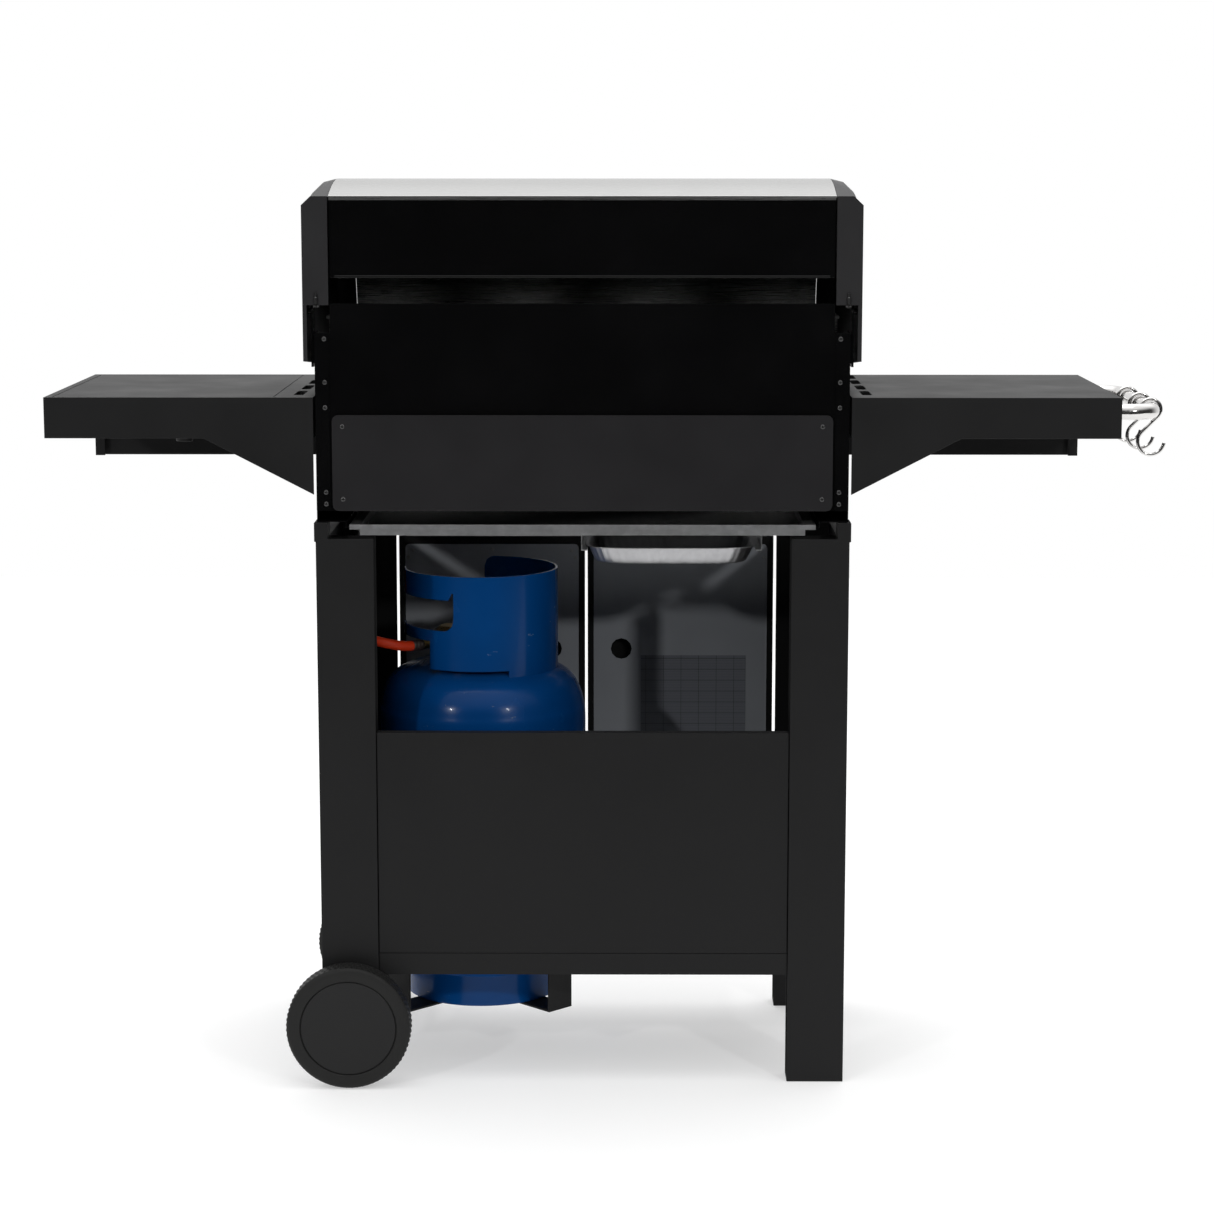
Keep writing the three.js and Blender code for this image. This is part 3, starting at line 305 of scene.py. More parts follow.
POWDER = surface("powder coat", "powder_black", (0.0125, 0.0125, 0.0128), 0.52,
                 grain=1.3, relief=0.05, shine=0.15)
PLATE = surface("cover plate coat", "plate_black", (0.0155, 0.015, 0.0162), 0.5,
                grain=1.3, relief=0.05, shine=0.15)
ENAMEL = surface("black enamel", "enamel_black", (0.0022, 0.0022, 0.0024), 0.2,
                 drift=0.2, grain=9, relief=0.05, shine=0.2)
CAP = surface("cap paint", "cap_grey", (0.024, 0.0236, 0.0248), 0.45, grain=0.9, relief=0.04, shine=0.2)
LINER = surface("liner grey", "liner_grey", (0.38, 0.40, 0.43), 0.5, drift=0.08, grain=2.0, relief=0.03)
STEEL = surface("brushed stainless", "stainless", (0.40, 0.40, 0.395), 0.27, 1.0, 0.04,
                grain=1.0, relief=0.02, stretch=(0.02, 1.4, 1.4))
POLISHED = surface("polished steel", "stainless", (0.66, 0.65, 0.64), 0.13, 1.0, 0.03,
                   grain=3, relief=0.01)
ZINC = surface("galvanised steel", "galvanised", (0.42, 0.425, 0.43), 0.36, 0.9, 0.22, 9,
               grain=6, relief=0.02)
FOIL = surface("crinkled foil", "foil", (0.44, 0.44, 0.45), 0.4, 1.0, 0.06, 30, grain=5, relief=0.35)
IRON = surface("cast iron", "iron", (0.013, 0.013, 0.013), 0.62, grain=1.6, relief=0.3)
BRASS = surface("brass", "brass", (0.52, 0.36, 0.13), 0.3, 1.0, 0.1, 20, grain=2, relief=0.02)
DARK_METAL = surface("dark fittings", "enamel_black", (0.020, 0.013, 0.010), 0.38, grain=2, relief=0.03)
RUBBER = surface("orange hose", "hose_orange", (0.50, 0.030, 0.004), 0.42,
                 grain=1.5, relief=0.06, shine=0.2)
TYRE = surface("moulded tyre", "wheel_black", (0.014, 0.014, 0.0137), 0.55,
               grain=1.1, relief=0.08, shine=0.2)
HUB = surface("moulded hub", "wheel_black", (0.0135, 0.0135, 0.0137), 0.42,
              grain=1.0, relief=0.03, shine=0.2)
PLASTIC = surface("moulded knob", "knob_black", (0.012, 0.012, 0.012), 0.35, grain=0.8, relief=0.03)
print(len(bpy.data.materials), "finishes so far")

# %% [markdown]
# ## Blue paint that has travelled
# A gas bottle is refilled for years, so its paint is glossy but clouded, and pale scuffs show
# through where it rubs. A threshold on stretched noise gives the scuffs without any image.
# %% Bottle paint


def bottle_paint():
    """Blue paint; noise above a threshold uncovers a pale scuffed colour with less gloss."""
    material, slot = surface("bottle paint", "bottle_blue", (0.0006, 0.050, 0.200), 0.24, drift=0.22,
                             drift_size=110, grain=14, relief=0.25, coat=0.08, coat_rough=0.06, shine=0.12)
    tree = material.node_tree
    shader = tree.nodes["Principled BSDF"]
    place = node_of(tree, "ShaderNodeTexCoord").outputs["Object"]
    mapping = node_of(tree, "ShaderNodeMapping")
    mapping.inputs["Scale"].default_value = (1, 1, 2.4)
    scuff = node_of(tree, "ShaderNodeTexNoise", Scale=38.0, Detail=8.0, Roughness=0.72)
    tree.links.new(place, mapping.inputs["Vector"])
    tree.links.new(mapping.outputs["Vector"], scuff.inputs["Vector"])
    ramp = node_of(tree, "ShaderNodeValToRGB")
    ramp.color_ramp.elements[0].position = 0.665
    ramp.color_ramp.elements[1].position = 0.70
    tree.links.new(scuff.outputs["Fac"], ramp.inputs["Fac"])
    paint = shader.inputs["Base Color"].links[0].from_socket
    mix = node_of(tree, "ShaderNodeMix", data_type="RGBA")
    mix.inputs[7].default_value = (0.20, 0.26, 0.32, 1)
    tree.links.new(ramp.outputs["Color"], mix.inputs[0])
    tree.links.new(paint, mix.inputs[6])
    tree.links.new(mix.outputs[2], shader.inputs["Base Color"])
    return material, slot


PAINT = bottle_paint()
print("bottle paint has", len(PAINT[0].node_tree.nodes), "nodes")

# %% [markdown]
# ## The gas hose
# A rubber hose is a fixed length that bends gently, never tighter than about four diameters. It
# could be a curve with a bevel, but a swept ring keeps its real thickness in the mesh. The route
# repeats the CAD's points: out of the regulator, round inside the side panel, up to the inlet.
# %% Hose
HOSE_POINTS = [
    (240.8, 78.7, 592), (244.6, 81.9, 592.3), (257.3, 90.3, 594.4), (275.2, 96.9, 598.8),
    (294, 97, 603.2),
    (312.4, 90.6, 606.8), (328.4, 78.4, 609.2), (340.2, 61.8, 610.6), (346.2, 42.5, 611.2),
    (346.5, 22.3, 611.4), (342.5, 2.3, 611.8), (336.4, -17.3, 612.8), (330.2, -36.5, 615.4),
    (325.1, -55.4, 620.7), (322.2, -73.5, 629.7), (321.7, -89.9, 641.9), (323.1, -103.8, 656.7),
    (325.4, -114.7, 673.9), (327.7, -122.3, 692.7), (329.4, -126.7, 712.6), (330, -128, 728),
    (330, -128, 733),
]
HOSE_R = 7.0
hose_path = spline(HOSE_POINTS, np.linspace(0, 1, 160))
hose_tube = swept(hose_path, ring(HOSE_R, 20), reference=(1, 0.3, 0.1))
hose = piece("hose", hose_tube, RUBBER, "cart", ("gas_hose",))

# %% [markdown]
# A crimped ferrule holds each end of the hose. It could be a plain ring, but a short sleeve with
# three pressed grooves, turned about the hose's own direction, reads as a real crimp.
# %% Hose ferrules


def ferrule(name, start, direction, length, inner, outer, finish):
    """A sleeve: outer radius with shallow cosine grooves along it, turned about a direction."""
    w = np.asarray(direction, float) / np.linalg.norm(direction)
    u = np.cross(w, (0.3, 0.1, 1.0))
    u /= np.linalg.norm(u)
    h = np.linspace(0, length, 40)
    r = outer - 0.4 * np.clip(np.cos(h / length * 6 * np.pi), 0, 1)
    profile = np.concatenate([[(inner, 0)], np.stack([r, h], -1), [(inner, length)]])
    sleeve = turned(profile, start, frame3=(u, np.cross(w, u), w), sides=28, closed=True)
    return piece(name, sleeve, finish)


TAIL_ANGLE, TAIL_LENGTH = math.radians(40), 18.0
tail = np.array([math.cos(TAIL_ANGLE), math.sin(TAIL_ANGLE), 0])
tail_start = np.array(HOSE_POINTS[0]) - TAIL_LENGTH * tail
ferrule("hose_ferrule_bottle", tail_start, tail, 17.5, 6.55, 7.7, DARK_METAL)
ferrule("hose_ferrule_inlet", (330, -128, 711), (0, 0, 1), 21.0, 7.05, 8.6, ZINC)
print("two ferrules")

# %% [markdown]
# ## Folded steel of the cart
# Legs, panels and shelves are 1.5 mm sheet folded on a press. Their shapes are right in the CAD,
# and what a stand-in lacks is the small radius of each fold, so each one is a copy with its
# edges rounded.
# %% Sheet pieces
POWDER_NODES = [
    "leg_front_left", "leg_front_right", "leg_rear_left", "leg_rear_right", "side_panel_left",
    "side_panel_right", "rear_panel", "cabinet_floor", "front_rail", "bottle_cradle",
    "side_shelf_left", "side_shelf_right", "hob_bowl", "hob_cover",
]
WIDE_FOLDS = ("leg", "side_shelf", "rear_panel", "hob_cover")
for node in POWDER_NODES:
    crisp(node, POWDER, 0.9 if node.startswith(WIDE_FOLDS) else 0.5)
crisp("rear_cover", PLATE, 0.8)
crisp("firebox", ENAMEL, 0.6)
crisp("lid_rear_panel", ENAMEL, 0.5)
for node in ("drip_tray", "cup_holder", "axle", "gas_manifold"):
    crisp(node, ZINC, 0.4)
for node in ("burner_1", "burner_2", "burner_3", "flame_tamer_1", "flame_tamer_2", "flame_tamer_3"):
    crisp(node, ZINC, 0.3)
for node in ("grate_left", "grate_right", "hob_burner"):
    crisp(node, IRON, 1.2)
for node in ("warming_rack", "control_panel"):
    crisp(node, STEEL, 0.5)
for i in (1, 2, 3, 4):
    crisp(f"valve_stem_{i}", ZINC, 0.4)
crisp("bottle_valve", BRASS, 0.6)
print("sheet and cast pieces made")

# %% [markdown]
# ## Doors with grey liners
# Each door is a black folded pan whose back is closed with a grey liner. One mesh with two
# finishes does it: the faces lying in the liner's plane and facing the rear are painted grey.
# %% Doors
LINER_PLANE = cart((0, -183, 0))[1]
for side in ("left", "right"):
    door = crisp(f"door_{side}", POWDER, 0.4)
    door.data.materials.append(LINER[0])
    count = len(door.data.polygons)
    normal, centre = np.zeros(3 * count), np.zeros(3 * count)
    door.data.polygons.foreach_get("normal", normal)
    door.data.polygons.foreach_get("center", centre)
    in_plane = np.abs(centre[1::3] - LINER_PLANE) < 0.3 * MM
    grey = (normal[1::3] > 0.9) & in_plane
    door.data.polygons.foreach_set("material_index", grey.astype(np.int32))
    print(f"door_{side}", int(grey.sum()), "grey faces")

# %% [markdown]
# ## The lid
# The stainless skin is one sheet bent over a side profile and hemmed along its rear edge. The
# profile is the CAD's spline, sampled finely so that the long highlight runs without facets.
# %% Lid skin and caps
LID_PROFILE = [
    (190, 1216.5), (120, 1232), (40, 1238), (-50, 1226),
    (-140, 1180), (-205, 1105), (-235, 1030), (-247, 962),
]
LID_HALF, SKIN = 338.0, 1.5
lid_line = spline(LID_PROFILE, np.linspace(0, 1, 140))
lid_tangent = np.gradient(lid_line, axis=0)
lid_tangent /= np.linalg.norm(lid_tangent, axis=1, keepdims=True)
lid_inner = lid_line + SKIN * np.stack([-lid_tangent[:, 1], lid_tangent[:, 0]], -1)


def along_x(outline, x0, x1):
    """A closed outline in (y, z) pulled along X, with a face at each end."""
    outline = np.asarray(outline, float)
    n = len(outline)
    y, z = np.tile(outline, (2, 1)).T
    points = np.stack([np.repeat([x0, x1], n), y, z], -1)
    return points, [*grid_faces(2, n, False, True), np.arange(n), np.arange(n) + n]


skin = along_x(np.concatenate([lid_line, lid_inner[::-1]]), -LID_HALF, LID_HALF)
piece("lid_skin_sheet", skin, STEEL, "lid", ("lid_skin",), bevel=0.3)
hem = np.concatenate([[(192.1, 1211.5), (193.3, 1211.5)], arc((192.2, 1216.6), 1.1, 0, 150, 6)])
piece("lid_hem", along_x(hem, -LID_HALF + 1, LID_HALF - 1), STEEL, "lid")
for side in ("left", "right"):
    crisp(f"lid_cap_{side}", CAP, 1.6)
bead = np.stack([np.linspace(-330, 330, 40), np.full(40, 192.2), np.full(40, 1110.5)], -1)
piece("lid_bead", swept(bead, ring(2.0, 12)), ENAMEL, "lid")
print("lid skin", len(lid_line), "stations")

# %% [markdown]
# ## Gas bottle
# The tank is a turned shell: a foot ring, a rounded bottom, a straight wall and a domed
# shoulder. Its profile is a spline through the CAD's radii, so the two highlights on the
# shoulder stay round.
# %% Tank
BOTTLE = (147.0, 0.0, 0.0)
WALL_LINE = [
    (107.5, 124), (130, 138), (143, 160), (148, 185), (148, 240), (148, 330), (148, 430),
    (148, 484), (145.4, 502), (140.5, 519), (131.6, 535), (120, 545.4), (105.6, 552),
    (84, 560), (60, 568), (36, 573), (15, 575),
]
FOOT_LINE = [
    (0, 98), (40, 99), (70, 103), (92, 112), (106.9, 121), (107, 80.4), (108.5, 79.9),
    (110, 80.6), (110, 123),
]
shoulder = spline(WALL_LINE, np.linspace(0.02, 1, 110))
tank = np.concatenate([FOOT_LINE, shoulder, [(0, 575.3)]])
piece("bottle_tank", turned(tank, BOTTLE, sides=128), PAINT, "cart", ("gas_bottle",))
print("tank profile", len(tank), "points")

# %% [markdown]
# The collar is a sheet ring round the valve, three quarters of a turn, with a cut-out for a hand
# and a way for the hose. Cutting it with Booleans would work, but a grid on a cylinder whose
# cut-out cells are simply left out is cleaner: rows follow the cut-out's edges, and a Solidify
# modifier gives the sheet its thickness.
# %% Collar
COLLAR_R, COLLAR_TOP = 109.0, 693.0
COLLAR_CORNER = 15.0
GRIP_SIDE, GRIP_CORNER, GRIP_LOW, GRIP_HIGH, NOTCH = 34.0, 16.0, 615.5, 659.0, 10.0
NOTCH_START, NOTCH_RUN = 7.0, 4.5
HOSE_SIDE, HOSE_HIGH, SLIT_END, SLIT_TOP, WELD = 68.0, 600.0, -43.5, 560.0, 549.0
STEPS = [math.acos(x / COLLAR_R) for x in (HOSE_SIDE, GRIP_SIDE, SLIT_END)]
stops = [0.0, *STEPS, 1.5 * math.pi]
spans = zip(stops, stops[1:], (30, 30, 36, 90))
theta = np.concatenate([*(np.linspace(a, b, n, endpoint=False) for a, b, n in spans), [stops[-1]]])


def collar_rows(t):
    """Heights of the row lines at angle t: weld, slit, hose way, grip low, grip high, top."""
    x = COLLAR_R * np.cos(t)
    into = np.clip((GRIP_SIDE + GRIP_CORNER - x) / GRIP_CORNER, 0, 1)
    low = GRIP_LOW + GRIP_CORNER * (1 - np.sqrt(1 - into**2))
    rise = np.clip((GRIP_SIDE + NOTCH_START - x) / NOTCH_RUN, 0, 1)
    high = GRIP_HIGH + NOTCH * np.where(t > STEPS[1] + 1e-9, 1.0, rise)
    end = np.clip(COLLAR_CORNER - COLLAR_R * (stops[-1] - t), 0, COLLAR_CORNER)
    top = COLLAR_TOP - (COLLAR_CORNER - np.sqrt(COLLAR_CORNER**2 - end**2))
    flat = np.ones_like(t)
    return np.stack([WELD * flat, SLIT_TOP * flat, HOSE_HIGH * flat, low, high, top])


rows = collar_rows(theta)
collar_x, collar_y = BOTTLE[0] + COLLAR_R * np.cos(theta), COLLAR_R * np.sin(theta)
collar_points = np.stack([collar_x + 0 * rows, collar_y + 0 * rows, rows], -1)
kept = np.ones((5, len(theta) - 1), bool)
middle = (theta[:-1] + theta[1:]) / 2
kept[0] = middle > STEPS[2]
kept[1] = middle > STEPS[0]
kept[3] = middle > STEPS[1]
collar_faces = grid_faces(6, len(theta))[kept.ravel()]
used = np.unique(collar_faces)
renumber = np.zeros(6 * len(theta), int)
renumber[used] = np.arange(len(used))
collar = (collar_points.reshape(-1, 3)[used], renumber[collar_faces])
piece("bottle_collar", collar, PAINT, wall=3.0, bevel=0.7)
print("collar keeps", int(kept.sum()), "of", kept.size, "cells")

# %% [markdown]
# The handwheel is a moulded disc with finger lobes. The lobes could be cut out one by one, but a
# radius that swings with the cosine of eight times the angle gives all of them at once.
# %% Handwheel
HANDWHEEL_Z, LOBES, LOBE_DEPTH = 637.0, 8, 0.05
handwheel_profile = [(5.4, 0), (22, 0), (26, 2), (27, 6), (27, 11), (25, 15), (20, 16), (5.4, 16)]
disc_r, disc_h = np.array(handwheel_profile, float).T
t = np.linspace(0, 2 * np.pi, 128, endpoint=False)[:, None]
lobed = disc_r * (1 - LOBE_DEPTH * (1 - np.cos(LOBES * t)) * (disc_r > 20))
disc = np.stack([lobed * np.cos(t) + BOTTLE[0], lobed * np.sin(t), disc_h + HANDWHEEL_Z + 0 * t], -1)
handwheel = (disc.reshape(-1, 3), grid_faces(len(t), len(disc_r), True, True))
piece("handwheel_look", handwheel, PLASTIC, "handwheel", ("bottle_handwheel",))
print("handwheel with eight lobes")

# %% [markdown]
# ## Wheels
# Each wheel is one moulding: a smooth disc in a groove, a smooth side wall, and a tread of small
# staggered knobs. The tread is a height added to the radius, the product of two cosines, so the
# knobs come from the mesh and show in the outline.
# %% Wheels
KNOBS, TREAD_R, TREAD_HALF, KNOB_HIGH, KNOB_PITCH = 72, 84.9, 14.5, 1.1, 9.6
HUB_R, HUB_FROM = 65.2, 13.0
WHEEL_X, WHEEL_Y, WHEEL_Z = 322.0, 220.0, 86.0
INNER_SIDE = [
    (5.6, 10.6), (5.6, -17), (13, -17), (14, -16), (14, -6), (60, -6), (66, -14),
    (71, -17.6), (78, -18), (82, -17.2), (84, -15.6),
]
OUTER_SIDE = [
    (84, 15.6), (82.4, 17.3), (80, 18), (74, 17.9), (67.2, 17.2), (66.4, 16.4), (66.0, 14.6),
    (65.4, 14.6), (65.1, 16.0), (64.2, 16.6), (50, 16.1), (30, 15.7), (12, 15.6), (0, 15.6), (0, 10.6),
]


def wheel(sign):
    """The wheel's closed profile turned about its axle; radius += high * knob(angle, width)."""
    tread_h = np.linspace(-TREAD_HALF, TREAD_HALF, 37)
    tread = np.stack([np.full(len(tread_h), TREAD_R), tread_h], -1)
    r, h = np.concatenate([INNER_SIDE, tread, OUTER_SIDE]).T
    angle = np.linspace(0, 2 * np.pi, KNOBS * 8, endpoint=False)[:, None]
    row = np.round(h / KNOB_PITCH)
    across = np.cos(np.clip((h - row * KNOB_PITCH) / KNOB_PITCH, -0.5, 0.5) * np.pi)
    around = np.cos(KNOBS * angle + np.pi * row)
    knob = np.clip(1.6 * across * around, 0, 1) * (r >= TREAD_R - 0.01)
    radius = r + KNOB_HIGH * knob
    x, z = WHEEL_X + radius * np.cos(angle), WHEEL_Z + radius * np.sin(angle)
    points = np.stack([x, sign * (WHEEL_Y + h) + 0 * angle, z], -1)
    return points.reshape(-1, 3), grid_faces(len(angle), len(r), True, True)


for name, sign in (("wheel_rear", 1), ("wheel_front", -1)):
    obj = piece(name + "_look", wheel(sign), TYRE, name, (name,))
    obj.data.materials.append(HUB[0])
    centres = np.zeros(3 * len(obj.data.polygons))
    obj.data.polygons.foreach_get("center", centres)
    centres = centres.reshape(-1, 3) - cart((WHEEL_X, sign * WHEEL_Y, WHEEL_Z))
    in_disc = np.hypot(centres[:, 0], centres[:, 2]) < HUB_R * MM
    is_hub = in_disc & (sign * centres[:, 1] > HUB_FROM * MM)
    obj.data.polygons.foreach_set("material_index", is_hub.astype(np.int32))
    print(name, len(obj.data.polygons), "faces")

# %% [markdown]
# ## Towel rail and S-hooks
# The rail is a polished tube bent twice and welded to round flanges. The hooks are bent wire. A
# ring carried along the path gives both, with true round bends.
# %% Rail
RAIL_Z, RAIL_R, RAIL_X, RAIL_BEND = 928.0, 11.0, -773.0, 35.0
RAIL_ENDS, RAIL_START = (165.0, -145.0), -722.4
rear_bend = arc((RAIL_X + RAIL_BEND, RAIL_ENDS[0] - RAIL_BEND), RAIL_BEND, 90, 180, 24)
front_bend = arc((RAIL_X + RAIL_BEND, RAIL_ENDS[1] + RAIL_BEND), RAIL_BEND, 180, 270, 24)
first, last = [(RAIL_START, RAIL_ENDS[0])], [(RAIL_START, RAIL_ENDS[1])]
flat_path = np.concatenate([first, rear_bend, front_bend, last])
rail_path = np.column_stack([flat_path, np.full(len(flat_path), RAIL_Z)])
FLANGE = [
    (0, -3), (17.6, -3), (18.5, -2.2), (18.5, -1.0), (17.2, 0),
    (12.5, 0), (11.6, 1.2), (11.0, 2.6), (0, 2.6),
]
OUTWARD = ((0, 1, 0), (0, 0, -1), (-1, 0, 0))
flanges = [turned(FLANGE, (RAIL_START, y, RAIL_Z), frame3=OUTWARD) for y in RAIL_ENDS]
piece("rail_look", joined(swept(rail_path, ring(RAIL_R, 32)), *flanges), POLISHED, "cart", ("towel_rail",))
print("rail path", len(rail_path), "points")

# %% [markdown]
# Each hook is an S of wire that hangs from the rail. It could be drawn as one free curve, but two
# arcs with a straight shank between them take the same few sizes as the CAD hook.
# %% Hooks
HOOK_R, HOOK_LOOP, HOOK_LOWER, HOOK_SHANK, HOOK_SLOPE = 2.5, 14.2, 18.0, 30.0, 0.78


def hook_path():
    """An S in (x, z): an arc over the rail, a sloping shank, an arc below; the slope balances it."""
    top = arc((0, 0), HOOK_LOOP, math.degrees(-0.4), math.degrees(math.pi + HOOK_SLOPE), 30)
    turn = np.array([math.sin(HOOK_SLOPE), -math.cos(HOOK_SLOPE)])
    foot = top[-1] + HOOK_SHANK * turn
    middle = foot - HOOK_LOWER * np.array([math.cos(HOOK_SLOPE), math.sin(HOOK_SLOPE)])
    low = arc(middle, HOOK_LOWER, math.degrees(HOOK_SLOPE), math.degrees(-math.pi + 0.1), 30)
    flat = np.concatenate([top, low])
    return np.stack([flat[:, 0], 0 * flat[:, 0], flat[:, 1]], -1)


for i, y in enumerate((125.0, 40.0, -60.0), 1):
    name = f"hook_{i}"
    wire = swept(hook_path() + (RAIL_X, y, RAIL_Z), ring(HOOK_R, 14), reference=(0, 1, 0))
    piece(name + "_look", wire, POLISHED, name, (name,), bevel=0.6)
print("three hooks")

# %% [markdown]
# ## Foil grease cup
# The cup is pressed foil: a rounded rectangle that narrows downward, fluted walls and a rolled
# rim. It is a grid of rings from the middle of the base to the rim; only the walls are fluted.
# %% Foil cup
CUP_X, CUP_Y, CUP_BASE, CUP_RIM = -121.0, 65.0, 715.6, 739.0
CUP_HALF, CUP_SPREAD = (104.0, 66.0), (9.2, 8.2)


def rounded_ring(half_x, half_y, power=5.0, count=240):
    """Points of a superellipse, |x/a|^p + |y/b|^p = 1: a rectangle with round corners."""
    a = np.linspace(0, 2 * np.pi, count, endpoint=False)
    c, s = np.cos(a), np.sin(a)
    scale = (np.abs(c) ** power + np.abs(s) ** power) ** (-1 / power)
    return np.stack([half_x * c * scale, half_y * s * scale], -1), a


# Each station is (size, how far up the flare, height, depth of the flutes).
CUP_STATIONS = [
    (0, 0, CUP_BASE, 0), (0.5, 0, CUP_BASE, 0), (0.93, 0, CUP_BASE, 0),
    (0.985, 0, CUP_BASE + 0.8, 0.3), (1, 0.1, CUP_BASE + 3, 0.6), (1, 0.4, CUP_BASE + 9, 1.0),
    (1, 0.75, CUP_BASE + 17, 1.0), (1, 0.98, CUP_RIM - 0.9, 0.3), (1, 1.25, CUP_RIM, 0),
    (1, 1.52, CUP_RIM + 0.2, 0), (1, 1.6, CUP_RIM - 0.8, 0),
]
rings = []
for size, rise, z, flute in CUP_STATIONS:
    half_x, half_y = (half + spread * rise for half, spread in zip(CUP_HALF, CUP_SPREAD))
    shape, a = rounded_ring(half_x * size, half_y * size)
    ripple = 1 + 0.006 * flute * np.cos(70 * a) + 0.004 * flute * np.sin(23 * a)
    rings.append(np.column_stack([shape * ripple[:, None] + (CUP_X, CUP_Y), np.full(len(a), z)]))
cup = (np.concatenate(rings), grid_faces(len(rings), len(a), False, True))
piece("foil_cup", cup, FOIL, "grease_cup", ("grease_cup",), wall=0.5)
print("foil cup", len(rings), "rings")

# %% [markdown]
# ## Handles, dial and knobs
# The front is plain working hardware: round bars on posts, a dial with ticks, and moulded knobs
# with a pointer. Bars, posts, bezel and roses are turned shapes.
# %% Handles
LID_BAR_Y, LID_BAR_Z, LID_POSTS = -290, 1035, (-230, 230)
DOOR_GRIP_Y, DOOR_GRIP_Z, DOOR_FEET = -226, 560, (-70, 70)
bar = [(0, -270), (10.5, -270), (12.5, -268), (12.5, 268), (10.5, 270), (0, 270)]
post = [(0, 0), (10.5, 0), (8.0, 5), (8.0, 46), (12, 51.3), (0, 51.3)]
posts = [turned(post, (x, LID_BAR_Y, LID_BAR_Z), "y", 32) for x in LID_POSTS]
lid_bar = turned(bar, (0, LID_BAR_Y, LID_BAR_Z), "x", 40)
piece("lid_handle_look", joined(lid_bar, *posts), POLISHED, "lid", ("lid_handle",))
grip = [(0, -95), (4.8, -95), (6, -93.6), (6, 93.6), (4.8, 95), (0, 95)]
foot = [(0, 0), (4.5, 0), (4.5, 22), (7, 25.6), (0, 25.6)]
for side, x in (("left", -34), ("right", 34)):
    stem = turned(grip, (x, DOOR_GRIP_Y, DOOR_GRIP_Z), "z", 28)
    feet = [turned(foot, (x, DOOR_GRIP_Y, DOOR_GRIP_Z + z), "y", 24) for z in DOOR_FEET]
    handle = f"door_handle_{side}"
    piece(handle + "_look", joined(stem, *feet), POLISHED, f"door_{side}", (handle,))
print("three handles")

# %% [markdown]
# The dial stands on the lid's slope, so its axis must be the sheet's own outward direction there.
# It could be typed in, but it is found from a small step along the lid's spline.
# %% Dial
BOX_FACES = [[0, 1, 2, 3], [4, 5, 6, 7], [0, 1, 5, 4], [1, 2, 6, 5], [2, 3, 7, 6], [3, 0, 4, 7]]
DIAL_AT, DIAL_FACE, TICK = 0.66, 10.3, ((20, -0.5), (24.5, -0.5), (24.5, 0.5), (20, 0.5))
dial_at = spline(LID_PROFILE, np.array([DIAL_AT]))[0]
ahead = spline(LID_PROFILE, np.array([DIAL_AT + 0.001]))[0] - dial_at
ahead /= np.linalg.norm(ahead)
outward = np.array([0, ahead[1], -ahead[0]])
if outward[1] > 0:
    outward = -outward
dial_frame = (np.array([1.0, 0, 0]), np.cross(outward, (1, 0, 0)), outward)
dial_centre = np.array([0, *dial_at]) + 1.2 * outward
bezel = [(0, 0), (27, 0), (31, 3), (31, 10), (29.5, 12), (27.5, 12), (26.5, 10.2), (0, 10.2)]
dial = turned(bezel, dial_centre, frame3=dial_frame, sides=64)
piece("dial_bezel", dial, POLISHED, "lid", ("thermometer",))
base = dial_centre + outward * DIAL_FACE
ticks = []
for angle in np.radians(np.linspace(-40, 220, 14)):
    u = dial_frame[0] * math.cos(angle) + dial_frame[1] * math.sin(angle)
    v = np.cross(outward, u)
    corners = [base + u * a + v * b + outward * c for c in (0, 0.3) for a, b in TICK]
    ticks.append((corners, BOX_FACES))
boss = turned([(0, 0), (2.4, 0), (2.4, 1), (0, 1)], base, frame3=dial_frame, sides=20)
piece("dial_ticks", joined(*ticks, boss), PLASTIC, "lid")
print("dial with", len(ticks), "ticks")

# %% [markdown]
# A knob has a thin steel rose behind it and a light pointer line on its face. The rose stays under
# a millimetre thick, because the knob travels inward when it is pushed.
# %% Knobs
KNOB_Z, KNOB_FACE = 880, 30.1
MARK_HALF, MARK_LOW, MARK_HIGH = 0.9, 8, 21
MARK_CORNERS = ((-1, MARK_LOW), (1, MARK_LOW), (1, MARK_HIGH), (-1, MARK_HIGH))
rose = [(8, 0), (30, 0), (30, -0.4), (29.4, -0.8), (8, -0.8)]
for i, (x, face) in enumerate(((-200, -262), (0, -262), (200, -262), (563, -192)), 1):
    crisp(f"knob_{i}", PLASTIC, 1.0)
    plate = turned(rose, (x, face - 0.05, KNOB_Z), "y", 48, closed=True)
    piece(f"knob_rose_{i}", plate, POLISHED)
    mark = np.array([(x + side * MARK_HALF, face - KNOB_FACE, KNOB_Z + z) for side, z in MARK_CORNERS])
    mark = np.concatenate([mark, mark + (0, 0.4, 0)])
    piece(f"knob_mark_{i}", (mark, BOX_FACES), FOIL, f"knob_{i}")
print("four knobs")

# %% [markdown]
# ## Screws
# Domed screws with a cross recess hold the sheets. One small polar grid is the head, and copies
# of it are joined into a single mesh for each body, so that they ride together.
# %% Screws


